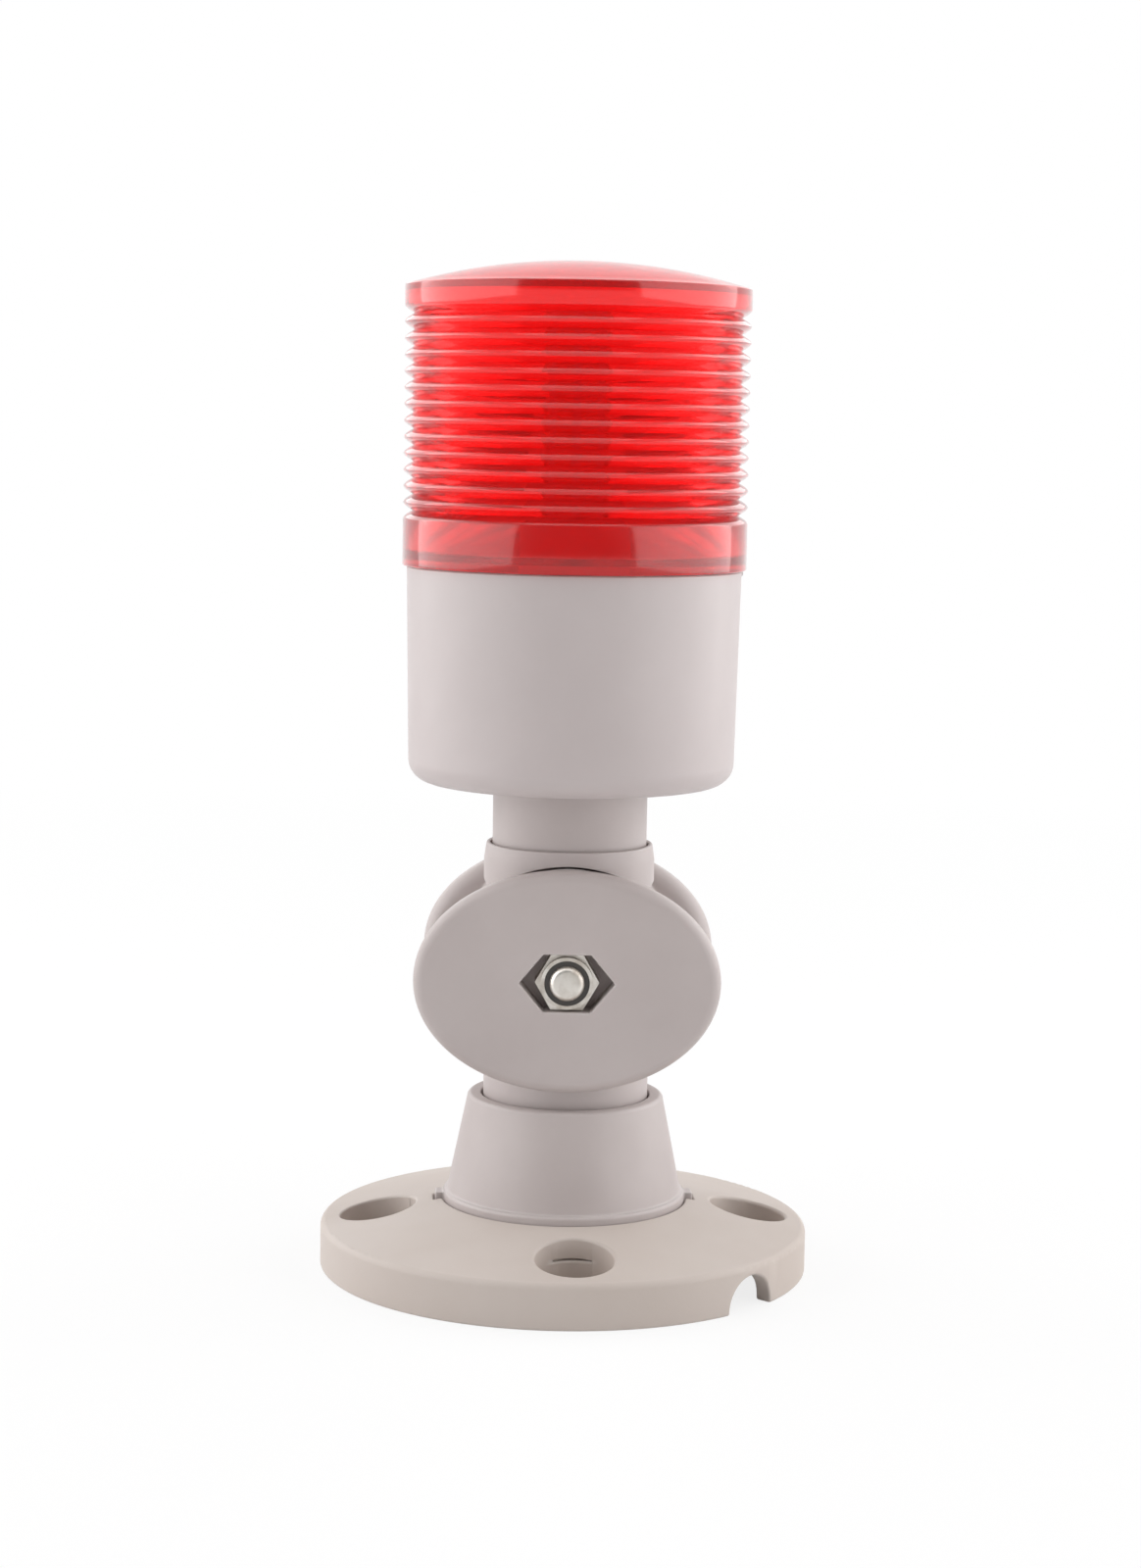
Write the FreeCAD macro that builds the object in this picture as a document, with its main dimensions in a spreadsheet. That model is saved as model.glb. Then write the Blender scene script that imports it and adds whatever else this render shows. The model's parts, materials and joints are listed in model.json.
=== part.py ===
"""Single-tier stack light on a folding base, as a parametric FreeCAD document.

The origin is the centre of the base plate's underside, +Z is up and the front is towards -Y.
The lamp's axis is Z, and the knuckle folds about an axis along Y. All sizes are in millimetres.
"""
import FreeCAD, Part
import math
import os
from types import SimpleNamespace

import Sketcher

# ---------------------------------------------------------------- driving dimensions
DIMENSIONS = {
    # base plate
    "plate_radius": 36.0,
    "plate_edge_height": 6.7,
    "plate_crown_height": 10.2,
    "plate_edge_round": 1.0,
    "plate_wall": 2.4,
    "plate_rim_wall": 2.6,
    "plate_opening_inset": 5.4,
    "hole_inset": 8.5,
    "pattern_turn": 3.6,
    "screw_hole_radius": 2.75,
    "counterbore_radius": 5.6,
    "counterbore_floor": 2.4,
    "counterbore_lip": 0.5,
    "screw_count": 4,
    "boss_wall": 1.4,
    "notch_azimuth": -41.4,
    "notch_width": 9.0,
    "notch_height": 5.0,
    "cut_overrun": 1.0,
    # socket on the plate
    "seat_depth": 0.8,
    "seat_gap": 0.2,
    "foot_radius": 17.9,
    "foot_bead": 1.2,
    "socket_taper": 3.4,
    "socket_height": 16.4,
    "socket_edge_round": 0.7,
    "tab_reach": 1.2,
    "tab_width": 3.0,
    "tab_height": 1.5,
    "tab_count": 2,
    "lower_recess_depth": 1.6,
    "swivel_cavity_inset": 5.7,
    "swivel_cavity_depth": 3.0,
    "socket_screw_inset": 3.2,
    "socket_screw_count": 4,
    "socket_screw_radius": 1.1,
    "socket_screw_head_radius": 2.1,
    "socket_screw_head_height": 1.5,
    "socket_screw_length": 7.0,
    "screw_clearance": 0.2,
    "pilot_spare": 0.5,
    # knuckle
    "socket_lip": 2.35,
    "spigot_radius": 7.5,
    "spigot_tail": 0.6,
    "spigot_chamfer": 0.6,
    "neck_show": 3.0,
    "neck_gap": 0.3,
    "drum_radius": 15.95,
    "drum_gap": 0.4,
    "parting_gap": 0.4,
    "front_cheek_inner": 12.7,
    "front_cheek_outer": 15.6,
    "cheek_half_width": 22.05,
    "cheek_half_height": 16.05,
    "rear_cheek_inner": 15.0,
    "rear_cheek_outer": 19.2,
    "rear_cheek_half_width": 22.0,
    "rear_cheek_half_height": 16.0,
    "cheek_round": 1.6,
    "rear_cheek_round": 1.6,
    "rear_cheek_front_round": 2.3,
    "cable_bore_radius": 4.0,
    "race_entry": 2.0,
    "wire_race_inner": 6.6,
    "wire_race_outer": 11.0,
    "wire_race_depth": 4.0,
    "friction_ring_inner": 11.6,
    "friction_ring_outer": 15.0,
    "bolt_radius": 2.5,
    "bolt_fit": 0.06,
    "bolt_end_proud": 0.9,
    "bolt_end_round": 0.8,
    "bolt_head_radius": 4.4,
    "bolt_head_height": 2.6,
    "bolt_socket_radius": 1.6,
    "bolt_socket_depth": 1.6,
    "bolt_washer_radius": 5.0,
    "bolt_washer_thickness": 0.8,
    "head_recess_radius": 5.4,
    "head_recess_depth": 3.8,
    "nut_across_flats": 8.0,
    "nut_height": 3.0,
    "nut_crown_radius": 3.75,
    "nut_crown_height": 1.0,
    "nut_crown_lip": 0.5,
    "nut_insert_thickness": 0.8,
    "nut_pocket_half_width": 6.85,
    "nut_pocket_half_height": 4.15,
    "nut_pocket_depth": 4.3,
    # swivel hardware
    "swivel_fit": 0.08,
    "thrust_gap": 0.1,
    "swivel_washer_thickness": 0.8,
    "swivel_washer_gap": 1.1,
    "swivel_nut_gap": 0.85,
    "swivel_nut_height": 3.2,
    # collar and neck
    "collar_foot_radius": 12.5,
    "collar_top_radius": 12.15,
    "collar_top_above_pivot": 18.35,
    "collar_recess_depth": 1.2,
    "neck_radius": 11.3,
    "neck_recess_gap": 0.3,
    "neck_length": 10.1,
    "neck_wall": 2.0,
    "neck_floor": 2.0,
    "neck_spigot_radius": 8.4,
    "neck_spigot_wall": 1.7,
    "neck_spigot_length": 7.0,
    "neck_nut_half_flats": 9.8,
    "neck_nut_height": 3.2,
    "wire_hole_radius": 1.8,
    "wire_hole_back": 4.2,
    "collar_screw_spread": 6.2,
    "collar_screw_back": 3.6,
    "collar_screw_radius": 1.2,
    "collar_screw_head_radius": 1.9,
    "collar_screw_head_height": 1.3,
    "collar_screw_length": 6.0,
    # housing
    "housing_foot_radius": 23.8,
    "housing_top_radius": 24.3,
    "housing_height": 31.3,
    "housing_foot_round": 3.3,
    "housing_wall": 2.3,
    "housing_floor": 2.6,
    "floor_fillet": 1.0,
    "neck_hole_gap": 0.1,
    "pillar_inset": 2.6,
    "pillar_root": 1.0,
    "pillar_radius": 2.2,
    "pillar_height": 21.2,
    "rim_mark_azimuth": -82.6,
    "rim_mark_width": 6.6,
    "rim_mark_height": 0.9,
    "rim_mark_proud": 0.45,
    "seal_inset": 1.3,
    "seal_side_gap": 0.1,
    "seal_width": 0.9,
    "seal_thickness": 0.55,
    "seal_recess": 0.3,
    "seal_gap": 0.05,
    # lens
    "lens_overhang": 0.7,
    "lens_height": 40.1,
    "lens_dome_rise": 3.6,
    "lens_edge_round": 0.4,
    "lens_wall": 2.5,
    "lens_roof": 2.0,
    "groove_first": 7.9,
    "groove_pitch": 2.35,
    "groove_count": 13,
    "groove_depth": 1.4,
    "groove_half_opening": 1.07,
    "groove_overrun": 0.3,
    "skirt_gap": 0.3,
    "skirt_wall": 1.4,
    "skirt_depth": 4.3,
    "lens_shelf": 1.2,
    "lens_shelf_slope": 1.0,
    "bayonet_lug_reach": 0.8,
    "bayonet_lug_height": 1.6,
    "bayonet_lug_angle": 10.0,
    "bayonet_lug_up": 0.4,
    "bayonet_lug_root": 0.2,
    "bayonet_gap": 0.3,
    "bayonet_turn": 20.0,
    "bayonet_play": 3.0,
    "bayonet_count": 3,
    "bayonet_azimuth": 30.0,
    # light engine
    "carrier_gap": 0.68,
    "carrier_thickness": 1.8,
    "carrier_screw_radius": 1.1,
    "carrier_screw_head_radius": 2.0,
    "carrier_screw_head_height": 1.3,
    "carrier_screw_length": 6.0,
    "led_socket_width": 15.6,
    "led_socket_height": 10.4,
    "led_socket_flange": 19.0,
    "led_socket_flange_height": 2.0,
    "column_width": 9.0,
    "column_insert": 3.0,
    "column_gap": 0.1,
    "column_ledge": 1.0,
    "board_thickness": 1.0,
    "column_height": 33.5,
    "led_width": 2.6,
    "led_height": 1.5,
    "led_thickness": 0.7,
    "led_rows": 10,
    "led_columns": 2,
    "led_foot_margin": 2.3,
    "led_column_pitch": 3.9,
    "led_top_margin": 1.6,
    "driver_gap": 0.4,
    "driver_thickness": 1.6,
    "spacer_inset": 2.1,
    "spacer_azimuth": 90.0,
    "spacer_radius": 1.9,
    "spacer_height": 8.6,
    "capacitor_radius": 4.0,
    "capacitor_height": 9.0,
    "rectifier_length": 8.0,
    "rectifier_width": 3.4,
    "rectifier_height": 5.2,
    "resistor_radius": 1.1,
    "resistor_length": 6.4,
    "resistor_pitch": 4.0,
    "terminal_shift": 1.0,
    "terminal_length": 10.2,
    "terminal_width": 7.0,
    "terminal_height": 7.4,
}

doc = FreeCAD.newDocument("StackLight")
sheet = doc.addObject("Spreadsheet::Sheet", "Sizes")
for row, (alias, value) in enumerate(DIMENSIONS.items(), start=1):
    sheet.set(f"A{row}", alias)
    sheet.set(f"B{row}", str(value))
    sheet.setAlias(f"B{row}", alias)
doc.recompute()


# ---------------------------------------------------------------- sizes that carry their expression
class Size:
    """A length or angle: its value now, and the sheet expression that gives it."""

    def __init__(self, value, text):
        self.value = float(value)
        self.text = text

    def __add__(self, other):
        other = size(other)
        return Size(self.value + other.value, f"({self.text} + {other.text})")

    def __sub__(self, other):
        other = size(other)
        return Size(self.value - other.value, f"({self.text} - {other.text})")

    def __mul__(self, other):
        other = size(other)
        return Size(self.value * other.value, f"({self.text} * {other.text})")

    def __truediv__(self, other):
        other = size(other)
        return Size(self.value / other.value, f"({self.text} / {other.text})")

    def __neg__(self):
        return Size(-self.value, f"(0 - {self.text})")

    def __radd__(self, other):
        return size(other) + self

    def __rsub__(self, other):
        return size(other) - self

    def __rmul__(self, other):
        return size(other) * self


def size(number):
    return number if isinstance(number, Size) else Size(number, f"({float(number)!r})")


def cosine(angle):
    return Size(math.cos(math.radians(angle.value)), f"cos({angle.text})")


def sine(angle):
    return Size(math.sin(math.radians(angle.value)), f"sin({angle.text})")


def bind(target, prop, length):
    """Tie a property of a feature to the sheet."""
    target.setExpression(prop, size(length).text)


d = SimpleNamespace(**{alias: Size(sheet.get(alias), f"Sizes.{alias}") for alias in DIMENSIONS})

FULL_TURN = 360
QUARTER_TURN = 90

# heights and radii that several pieces share
seat_radius = d.foot_radius + d.seat_gap
seat_floor = d.plate_crown_height - d.seat_depth
web_underside = seat_floor - d.plate_wall
socket_top = seat_floor + d.socket_height
pivot_height = socket_top + d.cheek_half_height + d.neck_show
lower_recess_floor = socket_top - d.lower_recess_depth
neck_foot = lower_recess_floor + d.thrust_gap
swivel_ceiling = seat_floor + d.swivel_cavity_depth
washer_underside = swivel_ceiling - d.thrust_gap - d.swivel_washer_thickness
spigot_end = washer_underside - d.swivel_nut_height - d.spigot_tail
saddle_radius = d.drum_radius + d.drum_gap
collar_top = pivot_height + d.collar_top_above_pivot
collar_floor = collar_top - d.collar_recess_depth
housing_foot = collar_floor + d.neck_length
housing_top = housing_foot + d.housing_height
floor_top = housing_foot + d.housing_floor
seal_foot = housing_top - d.seal_recess
lens_foot = seal_foot + d.seal_thickness + d.seal_gap
pillar_top = floor_top + d.pillar_height
carrier_top = pillar_top + d.carrier_thickness
socket_block_top = carrier_top + d.led_socket_height
column_foot = socket_block_top - d.column_insert
column_top = column_foot + d.column_height
driver_foot = floor_top + d.spacer_height
driver_top = driver_foot + d.driver_thickness
pattern_radius = d.plate_radius - d.hole_inset
plate_opening = d.foot_radius - d.plate_opening_inset
swivel_cavity = d.foot_radius - d.swivel_cavity_inset
swivel_washer_radius = swivel_cavity - d.swivel_washer_gap
swivel_nut_flats = (swivel_cavity - d.swivel_nut_gap) * cosine(size(QUARTER_TURN / 3))
socket_top_radius = d.foot_radius - d.socket_taper
lower_neck_radius = socket_top_radius - d.socket_lip
socket_screw_circle = d.foot_radius - d.socket_screw_inset
inner_foot = d.housing_foot_radius - d.housing_wall
inner_top = d.housing_top_radius - d.housing_wall
skirt_radius = inner_top - d.skirt_gap
skirt_inner = skirt_radius - d.skirt_wall
seal_inner = d.housing_top_radius - d.seal_inset
seal_seat = seal_inner + d.seal_width + d.seal_side_gap
lens_radius = d.housing_top_radius + d.lens_overhang
lens_inner = lens_radius - d.lens_wall
carrier_radius = (inner_foot + (inner_top - inner_foot) * (d.pillar_height / (seal_foot - floor_top))
                  - d.carrier_gap)
pillar_circle = carrier_radius - d.pillar_inset
led_rows_height = d.column_height - d.column_insert - d.led_top_margin - d.led_height - d.led_foot_margin
led_row_pitch = led_rows_height / (d.led_rows - 1)
driver_radius = pillar_circle - d.pillar_radius - d.driver_gap
spacer_circle = driver_radius - d.spacer_inset


# ---------------------------------------------------------------- modelling helpers
def new_body(label):
    body = doc.addObject("PartDesign::Body", label)
    body.Label = label
    body.Placement = FreeCAD.Placement()
    return body


def origin_plane(body, role):
    return next(feature for feature in body.Origin.OriginFeatures if feature.Role == role)


def new_sketch(body, name, role, offset=0, turn=0):
    """A sketch on one of the body's origin planes, moved along its normal and turned about Z."""
    sketch = body.newObject("Sketcher::SketchObject", name)
    sketch.AttachmentSupport = (origin_plane(body, role), [""])
    sketch.MapMode = "FlatFace"
    upright = FreeCAD.Vector(0, 1, 0) if role == "XZ_Plane" else FreeCAD.Vector(0, 0, 1)
    offset, turn = size(offset), size(turn)
    angle = turn.value
    lift = FreeCAD.Vector(0, 0, offset.value)
    sketch.AttachmentOffset = FreeCAD.Placement(lift, FreeCAD.Rotation(upright, angle))
    if offset.value:
        bind(sketch, "AttachmentOffset.Base.z", offset)
    if angle:
        bind(sketch, "AttachmentOffset.Rotation.Angle", turn if angle > 0 else -turn)
    return sketch


def fix_point(sketch, geometry, end, x, y):
    """Hold one end of a line or arc, or a circle's centre (end 3), at sheet-driven coordinates."""
    for kind, length in (("DistanceX", size(x)), ("DistanceY", size(y))):
        index = sketch.addConstraint(Sketcher.Constraint(kind, -1, 1, geometry, end, length.value))
        if "Sizes." in length.text:
            bind(sketch, f"Constraints[{index}]", length)


def arc_edge(start, end, radius, side):
    """The arc from start to end; its centre lies on the left of the way (side 1) or on the right (-1)."""
    x1, y1, x2, y2 = (size(value).value for value in (*start, *end))
    chord = math.hypot(x2 - x1, y2 - y1)
    reach = side * math.sqrt(max(radius.value ** 2 - chord ** 2 / 4, 0.0)) / chord
    centre = FreeCAD.Vector((x1 + x2) / 2 - (y2 - y1) * reach, (y1 + y2) / 2 + (x2 - x1) * reach, 0)
    first, last = ((x1, y1), (x2, y2)) if side > 0 else ((x2, y2), (x1, y1))
    angles = [math.atan2(y - centre.y, x - centre.x) for x, y in (first, last)]
    circle = Part.Circle(centre, FreeCAD.Vector(0, 0, 1), radius.value)
    return Part.ArcOfCircle(circle, angles[0], angles[1])


def outline(sketch, points):
    """Close a profile through the points. A point (x, y) ends a line; (x, y, radius, side) ends an arc."""
    ends = []
    count = len(points)
    for i, point in enumerate(points):
        following = points[(i + 1) % count]
        x1, y1, x2, y2 = (size(value).value for value in (*point[:2], *following[:2]))
        if len(following) == 4:
            radius, side = size(following[2]), following[3]
            index = sketch.addGeometry(arc_edge(point[:2], following[:2], radius, side), False)
            ends.append((index, 1, 2) if side > 0 else (index, 2, 1))
            hold = sketch.addConstraint(Sketcher.Constraint("Radius", index, radius.value))
            bind(sketch, f"Constraints[{hold}]", radius)
        else:
            line = Part.LineSegment(FreeCAD.Vector(x1, y1, 0), FreeCAD.Vector(x2, y2, 0))
            ends.append((sketch.addGeometry(line, False), 1, 2))
    for i in range(count):
        index, _, last = ends[i]
        following, first, _ = ends[(i + 1) % count]
        sketch.addConstraint(Sketcher.Constraint("Coincident", index, last, following, first))
        fix_point(sketch, index, ends[i][1], *points[i][:2])
    return sketch


def circles(sketch, items):
    """Circles (x, y, radius) in a sketch."""
    for x, y, radius in items:
        x, y, radius = size(x), size(y), size(radius)
        circle = Part.Circle(FreeCAD.Vector(x.value, y.value, 0), FreeCAD.Vector(0, 0, 1), radius.value)
        index = sketch.addGeometry(circle, False)
        hold = sketch.addConstraint(Sketcher.Constraint("Radius", index, radius.value))
        bind(sketch, f"Constraints[{hold}]", radius)
        fix_point(sketch, index, 3, x, y)
    return sketch


def oval(sketch, half_width, half_height):
    """An upright ellipse about the pivot, with its long axis level."""
    height = pivot_height.value
    centre = FreeCAD.Vector(0, height, 0)
    tip = FreeCAD.Vector(half_width.value, height, 0)
    top = FreeCAD.Vector(0, height + half_height.value, 0)
    ellipse = sketch.addGeometry(Part.Ellipse(tip, top, centre), False)
    sketch.exposeInternalGeometry(ellipse)
    fix_point(sketch, ellipse, 3, 0, pivot_height)
    fix_point(sketch, ellipse + 1, 2, half_width, pivot_height)
    height_rule = Sketcher.Constraint("DistanceY", ellipse, 3, ellipse + 2, 2, half_height.value)
    hold = sketch.addConstraint(height_rule)
    bind(sketch, f"Constraints[{hold}]", half_height)
    return sketch


def rectangle(x, y, width, height):
    """The corner points of a rectangle about (x, y)."""
    half_w, half_h = size(width) / 2, size(height) / 2
    x, y = size(x), size(y)
    left, right, low, high = x - half_w, x + half_w, y - half_h, y + half_h
    return [(left, low), (right, low), (right, high), (left, high)]


def hexagon(half_flats):
    """The corner points of a regular hexagon, with flats up and down."""
    corner = size(half_flats) * (2 / math.sqrt(3))
    half = corner / 2
    return [(corner, 0), (half, half_flats), (-half, half_flats),
            (-corner, 0), (-half, -half_flats), (half, -half_flats)]


def solid_volume(body):
    doc.recompute()
    return body.Shape.Volume


def add(body, kind, name, sketch, **settings):
    """A sketch-based feature. Settings are properties; a Size among them is bound to the sheet."""
    before = body.Shape.Volume if body.Tip and not body.Shape.isNull() else 0.0
    feature = body.newObject(f"PartDesign::{kind}", name)
    feature.Profile = sketch
    for prop, value in settings.items():
        if isinstance(value, Size):
            setattr(feature, prop, value.value)
            bind(feature, prop, value)
        else:
            setattr(feature, prop, value)
    after = solid_volume(body)
    changed = after - before if kind in ("Pad", "Revolution") else before - after
    if changed < 0.01:
        raise RuntimeError(f"{name} changed nothing: {before:.3f} to {after:.3f}")
    return feature


def turn_profile(body, name, points, kind="Revolution", angle=FULL_TURN, azimuth=0):
    """Revolve a closed profile of (radius, height) points about Z, centred on an azimuth."""
    sketch = outline(new_sketch(body, f"{name}_profile", "XZ_Plane", 0, azimuth), points)
    return add(body, kind, name, sketch, ReferenceAxis=(sketch, ["V_Axis"]), Angle=angle, Midplane=True)


def repeat_round(body, name, features, count):
    pattern = body.newObject("PartDesign::PolarPattern", name)
    pattern.Originals = features
    pattern.Axis = (origin_plane(body, "Z_Axis"), [""])
    pattern.Angle = FULL_TURN
    if isinstance(count, Size):
        pattern.Occurrences = int(count.value)
        bind(pattern, "Occurrences", count)
    else:
        pattern.Occurrences = count
    body.Tip = pattern
    doc.recompute()
    return pattern


def soften(body, name, radius, chosen, kind="Fillet"):
    """Round or chamfer the edges of the body's tip that the test picks."""
    base = body.Tip
    names = [f"Edge{i}" for i, edge in enumerate(base.Shape.Edges, start=1) if chosen(edge)]
    if not names:
        raise RuntimeError(f"{name} found no edge")
    feature = body.newObject(f"PartDesign::{kind}", name)
    feature.Base = (base, names)
    prop = "Radius" if kind == "Fillet" else "Size"
    setattr(feature, prop, radius.value)
    bind(feature, prop, radius)
    doc.recompute()
    return feature


def near(value, target, slack=0.02):
    return abs(value - size(target).value) < slack


def primitive(kind, name, at=(0, 0, 0), rotation=None, **settings):
    """A Part primitive with its sizes and place bound to the sheet."""
    item = doc.addObject(f"Part::{kind}", name)
    at = [size(value) for value in at]
    place = FreeCAD.Vector(*(value.value for value in at))
    item.Placement = FreeCAD.Placement(place, rotation or FreeCAD.Rotation())
    for axis, value in zip("xyz", at):
        bind(item, f"Placement.Base.{axis}", value)
    for prop, value in settings.items():
        setattr(item, prop, size(value).value)
        bind(item, prop, value)
    return item


def group(label, items):
    """Separate solids of one kind in one sub-part."""
    whole = doc.addObject("Part::Compound", label)
    whole.Label = label
    whole.Links = items
    whole.Placement = FreeCAD.Placement()
    return whole


def fused(label, items):
    whole = doc.addObject("Part::MultiFuse", label)
    whole.Label = label
    whole.Shapes = items
    whole.Refine = True
    return whole


def around(radius, count, first=0):
    """Places on a circle, as (x, y) sizes: the first of them at an azimuth."""
    angles = [size(first) + size(step) * FULL_TURN / count for step in range(int(size(count).value))]
    return [(radius * cosine(angle), radius * sine(angle)) for angle in angles]


def pan_screw(name, x, y, seat, length, radius, head_radius, head_height, down=True):
    """A small screw whose head bears on a level seat; it points down, or up from below."""
    shank_z, head_z = (seat - length, seat) if down else (seat, seat - head_height)
    shank = primitive("Cylinder", f"{name}_shank", (x, y, shank_z), Radius=radius, Height=length)
    head = primitive("Cylinder", f"{name}_head", (x, y, head_z), Radius=head_radius, Height=head_height)
    return fused(name, [shank, head])


PIVOT_AXIS = FreeCAD.Rotation(FreeCAD.Vector(1, 0, 0), 90)
sub_parts = []


# ---------------------------------------------------------------- base
def base_plate():
    """Moulded plate: conical top, hollow underside, four screw bosses, socket seat and cable notch."""
    body = new_body("base_plate")
    rim_inner = d.plate_radius - d.plate_rim_wall
    shoulder = d.plate_radius - d.plate_edge_round
    turn_profile(body, "plate_shell", [
        (plate_opening, web_underside),
        (seat_radius, web_underside),
        (rim_inner, d.plate_edge_height - d.plate_wall),
        (rim_inner, 0),
        (d.plate_radius, 0),
        (d.plate_radius, d.plate_edge_height - d.plate_edge_round),
        (shoulder, d.plate_edge_height, d.plate_edge_round, 1),
        (seat_radius, d.plate_crown_height),
        (seat_radius, seat_floor),
        (plate_opening, seat_floor),
    ])
    hole_x, hole_y = around(pattern_radius, 1, d.pattern_turn - QUARTER_TURN)[0]
    boss_ring = circles(new_sketch(body, "boss_ring", "XY_Plane"),
                        [(hole_x, hole_y, d.counterbore_radius + d.boss_wall)])
    boss = add(body, "Pad", "screw_boss", boss_ring, Length=d.plate_edge_height - d.plate_edge_round / 2)
    sunk_ring = circles(new_sketch(body, "counterbore_ring", "XY_Plane", d.counterbore_floor),
                        [(hole_x, hole_y, d.counterbore_radius)])
    sunk = add(body, "Pocket", "counterbore", sunk_ring, Type="ThroughAll", Reversed=True)
    hole_ring = circles(new_sketch(body, "hole_ring", "XY_Plane"), [(hole_x, hole_y, d.screw_hole_radius)])
    hole = add(body, "Pocket", "screw_hole", hole_ring, Type="ThroughAll", Reversed=True)
    repeat_round(body, "screw_pattern", [boss, sunk, hole], d.screw_count)

    # seats for the socket's snap tabs
    tab_seat = new_sketch(body, "tab_seat_outline", "XY_Plane", seat_floor, d.pattern_turn)
    reach = seat_radius + d.tab_reach
    tab_opening = rectangle(reach - d.tab_reach, 0, d.tab_reach * 2, d.tab_width + d.seat_gap * 2)
    slot = add(body, "Pocket", "tab_seat", outline(tab_seat, tab_opening), Type="ThroughAll", Reversed=True)
    repeat_round(body, "tab_seats", [slot], d.tab_count)
    web_x, web_y = around(socket_screw_circle, 1, d.pattern_turn + QUARTER_TURN / 2)[0]
    web_ring = circles(new_sketch(body, "web_hole_ring", "XY_Plane", seat_floor),
                       [(web_x, web_y, d.socket_screw_radius + d.screw_clearance)])
    way = add(body, "Pocket", "web_hole", web_ring, Length=d.plate_wall + d.cut_overrun)
    repeat_round(body, "web_holes", [way], d.socket_screw_count)

    # cable notch: an arch through the rim wall
    half = d.notch_width / 2
    spring = d.notch_height - half
    arch = [(half, -d.cut_overrun), (half, spring), (0, d.notch_height, half, 1),
            (-half, spring, half, 1), (-half, -d.cut_overrun)]
    notch = outline(new_sketch(body, "notch_arch", "XZ_Plane", 0, d.notch_azimuth + QUARTER_TURN), arch)
    add(body, "Pocket", "cable_notch", notch, Type="ThroughAll", Reversed=True)

    # soft lips round the counterbore mouths
    def mouth(edge):
        box = edge.BoundBox
        across = 2 * d.counterbore_radius.value
        slack = d.counterbore_lip.value
        above = box.ZMin > (d.plate_edge_height - d.plate_edge_round).value
        return above and near(box.XLength, across, slack) and near(box.YLength, across, slack)
    soften(body, "mouth_lips", d.counterbore_lip, mouth)
    sub_parts.append(body)


def base_socket():
    """Conical socket: foot bead, snap tabs, bearing bore, and a recess for the knuckle's neck on top."""
    body = new_body("base_socket")
    bore = d.spigot_radius + d.swivel_fit
    recess = lower_neck_radius + d.neck_gap
    bead_top = seat_floor + d.seat_depth + d.foot_bead
    turn_profile(body, "socket_cone", [
        (swivel_cavity, seat_floor),
        (d.foot_radius, seat_floor),
        (d.foot_radius, bead_top - d.foot_bead / 2),
        (d.foot_radius - d.foot_bead / 2, bead_top, d.foot_bead / 2, 1),
        (socket_top_radius, socket_top - d.socket_edge_round),
        (socket_top_radius - d.socket_edge_round, socket_top, d.socket_edge_round, 1),
        (recess, socket_top),
        (recess, lower_recess_floor),
        (bore, lower_recess_floor),
        (bore, swivel_ceiling),
        (swivel_cavity, swivel_ceiling),
    ])
    tab = outline(new_sketch(body, "snap_tab_outline", "XY_Plane", seat_floor, d.pattern_turn),
                  rectangle(d.foot_radius, 0, d.tab_reach * 2, d.tab_width))
    hook = add(body, "Pad", "snap_tab", tab, Length=d.tab_height)
    repeat_round(body, "snap_tabs", [hook], d.tab_count)
    hole_x, hole_y = around(socket_screw_circle, 1, d.pattern_turn + QUARTER_TURN / 2)[0]
    pilot_ring = circles(new_sketch(body, "pilot_ring", "XY_Plane", seat_floor),
                         [(hole_x, hole_y, d.socket_screw_radius)])
    pilot = add(body, "Pocket", "screw_pilot", pilot_ring,
                Length=d.socket_screw_length - d.plate_wall + d.pilot_spare, Reversed=True)
    repeat_round(body, "screw_pilots", [pilot], d.socket_screw_count)
    sub_parts.append(body)


def socket_screws():
    """Four self-tapping screws that hold the socket from under the plate's web."""
    places = around(socket_screw_circle, d.socket_screw_count, d.pattern_turn + QUARTER_TURN / 2)
    sub_parts.append(group("socket_screws", [
        pan_screw(f"socket_screw_{i}", x, y, web_underside, d.socket_screw_length, d.socket_screw_radius,
                  d.socket_screw_head_radius, d.socket_screw_head_height, down=False)
        for i, (x, y) in enumerate(places, start=1)]))


# ---------------------------------------------------------------- knuckle
def drum_and_cheek(body, side, parting, inner, outer, half_width, half_height):
    """The round drum and the oval cheek outside it. Side 1 is the front half, -1 the rear half."""
    front = side > 0
    drum_sketch = new_sketch(body, "drum_circle", "XZ_Plane", parting * side)
    drum = circles(drum_sketch, [(0, pivot_height, d.drum_radius)])
    add(body, "Pad", "drum", drum, Length=inner - parting, Reversed=not front)
    face = oval(new_sketch(body, "cheek_oval", "XZ_Plane", inner * side), half_width, half_height)
    add(body, "Pad", "cheek", face, Length=outer - inner, Reversed=not front)
    return face


def fold_relief(body, way):
    """Trim a neck's sides to 45 degrees from the pivot, so that the two necks clear at a right-angle fold."""
    wide = d.cheek_half_width
    tip = pivot_height + d.drum_gap * way
    flank = tip + wide * way
    points = [(-wide, flank), (0, tip), (wide, flank), (wide, tip - wide * way), (-wide, tip - wide * way)]
    relief = outline(new_sketch(body, "fold_relief_outline", "XZ_Plane"), points)
    add(body, "Pocket", "fold_relief", relief, Type="ThroughAll", Midplane=True)


def rounded_oval(body, name, radius, depth):
    """Round the oval's edge that lies at a depth along Y."""
    def rim(edge):
        box = edge.BoundBox
        return near(box.YMin, depth) and near(box.YMax, depth) and isinstance(edge.Curve, Part.Ellipse)
    soften(body, name, radius, rim)


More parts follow.
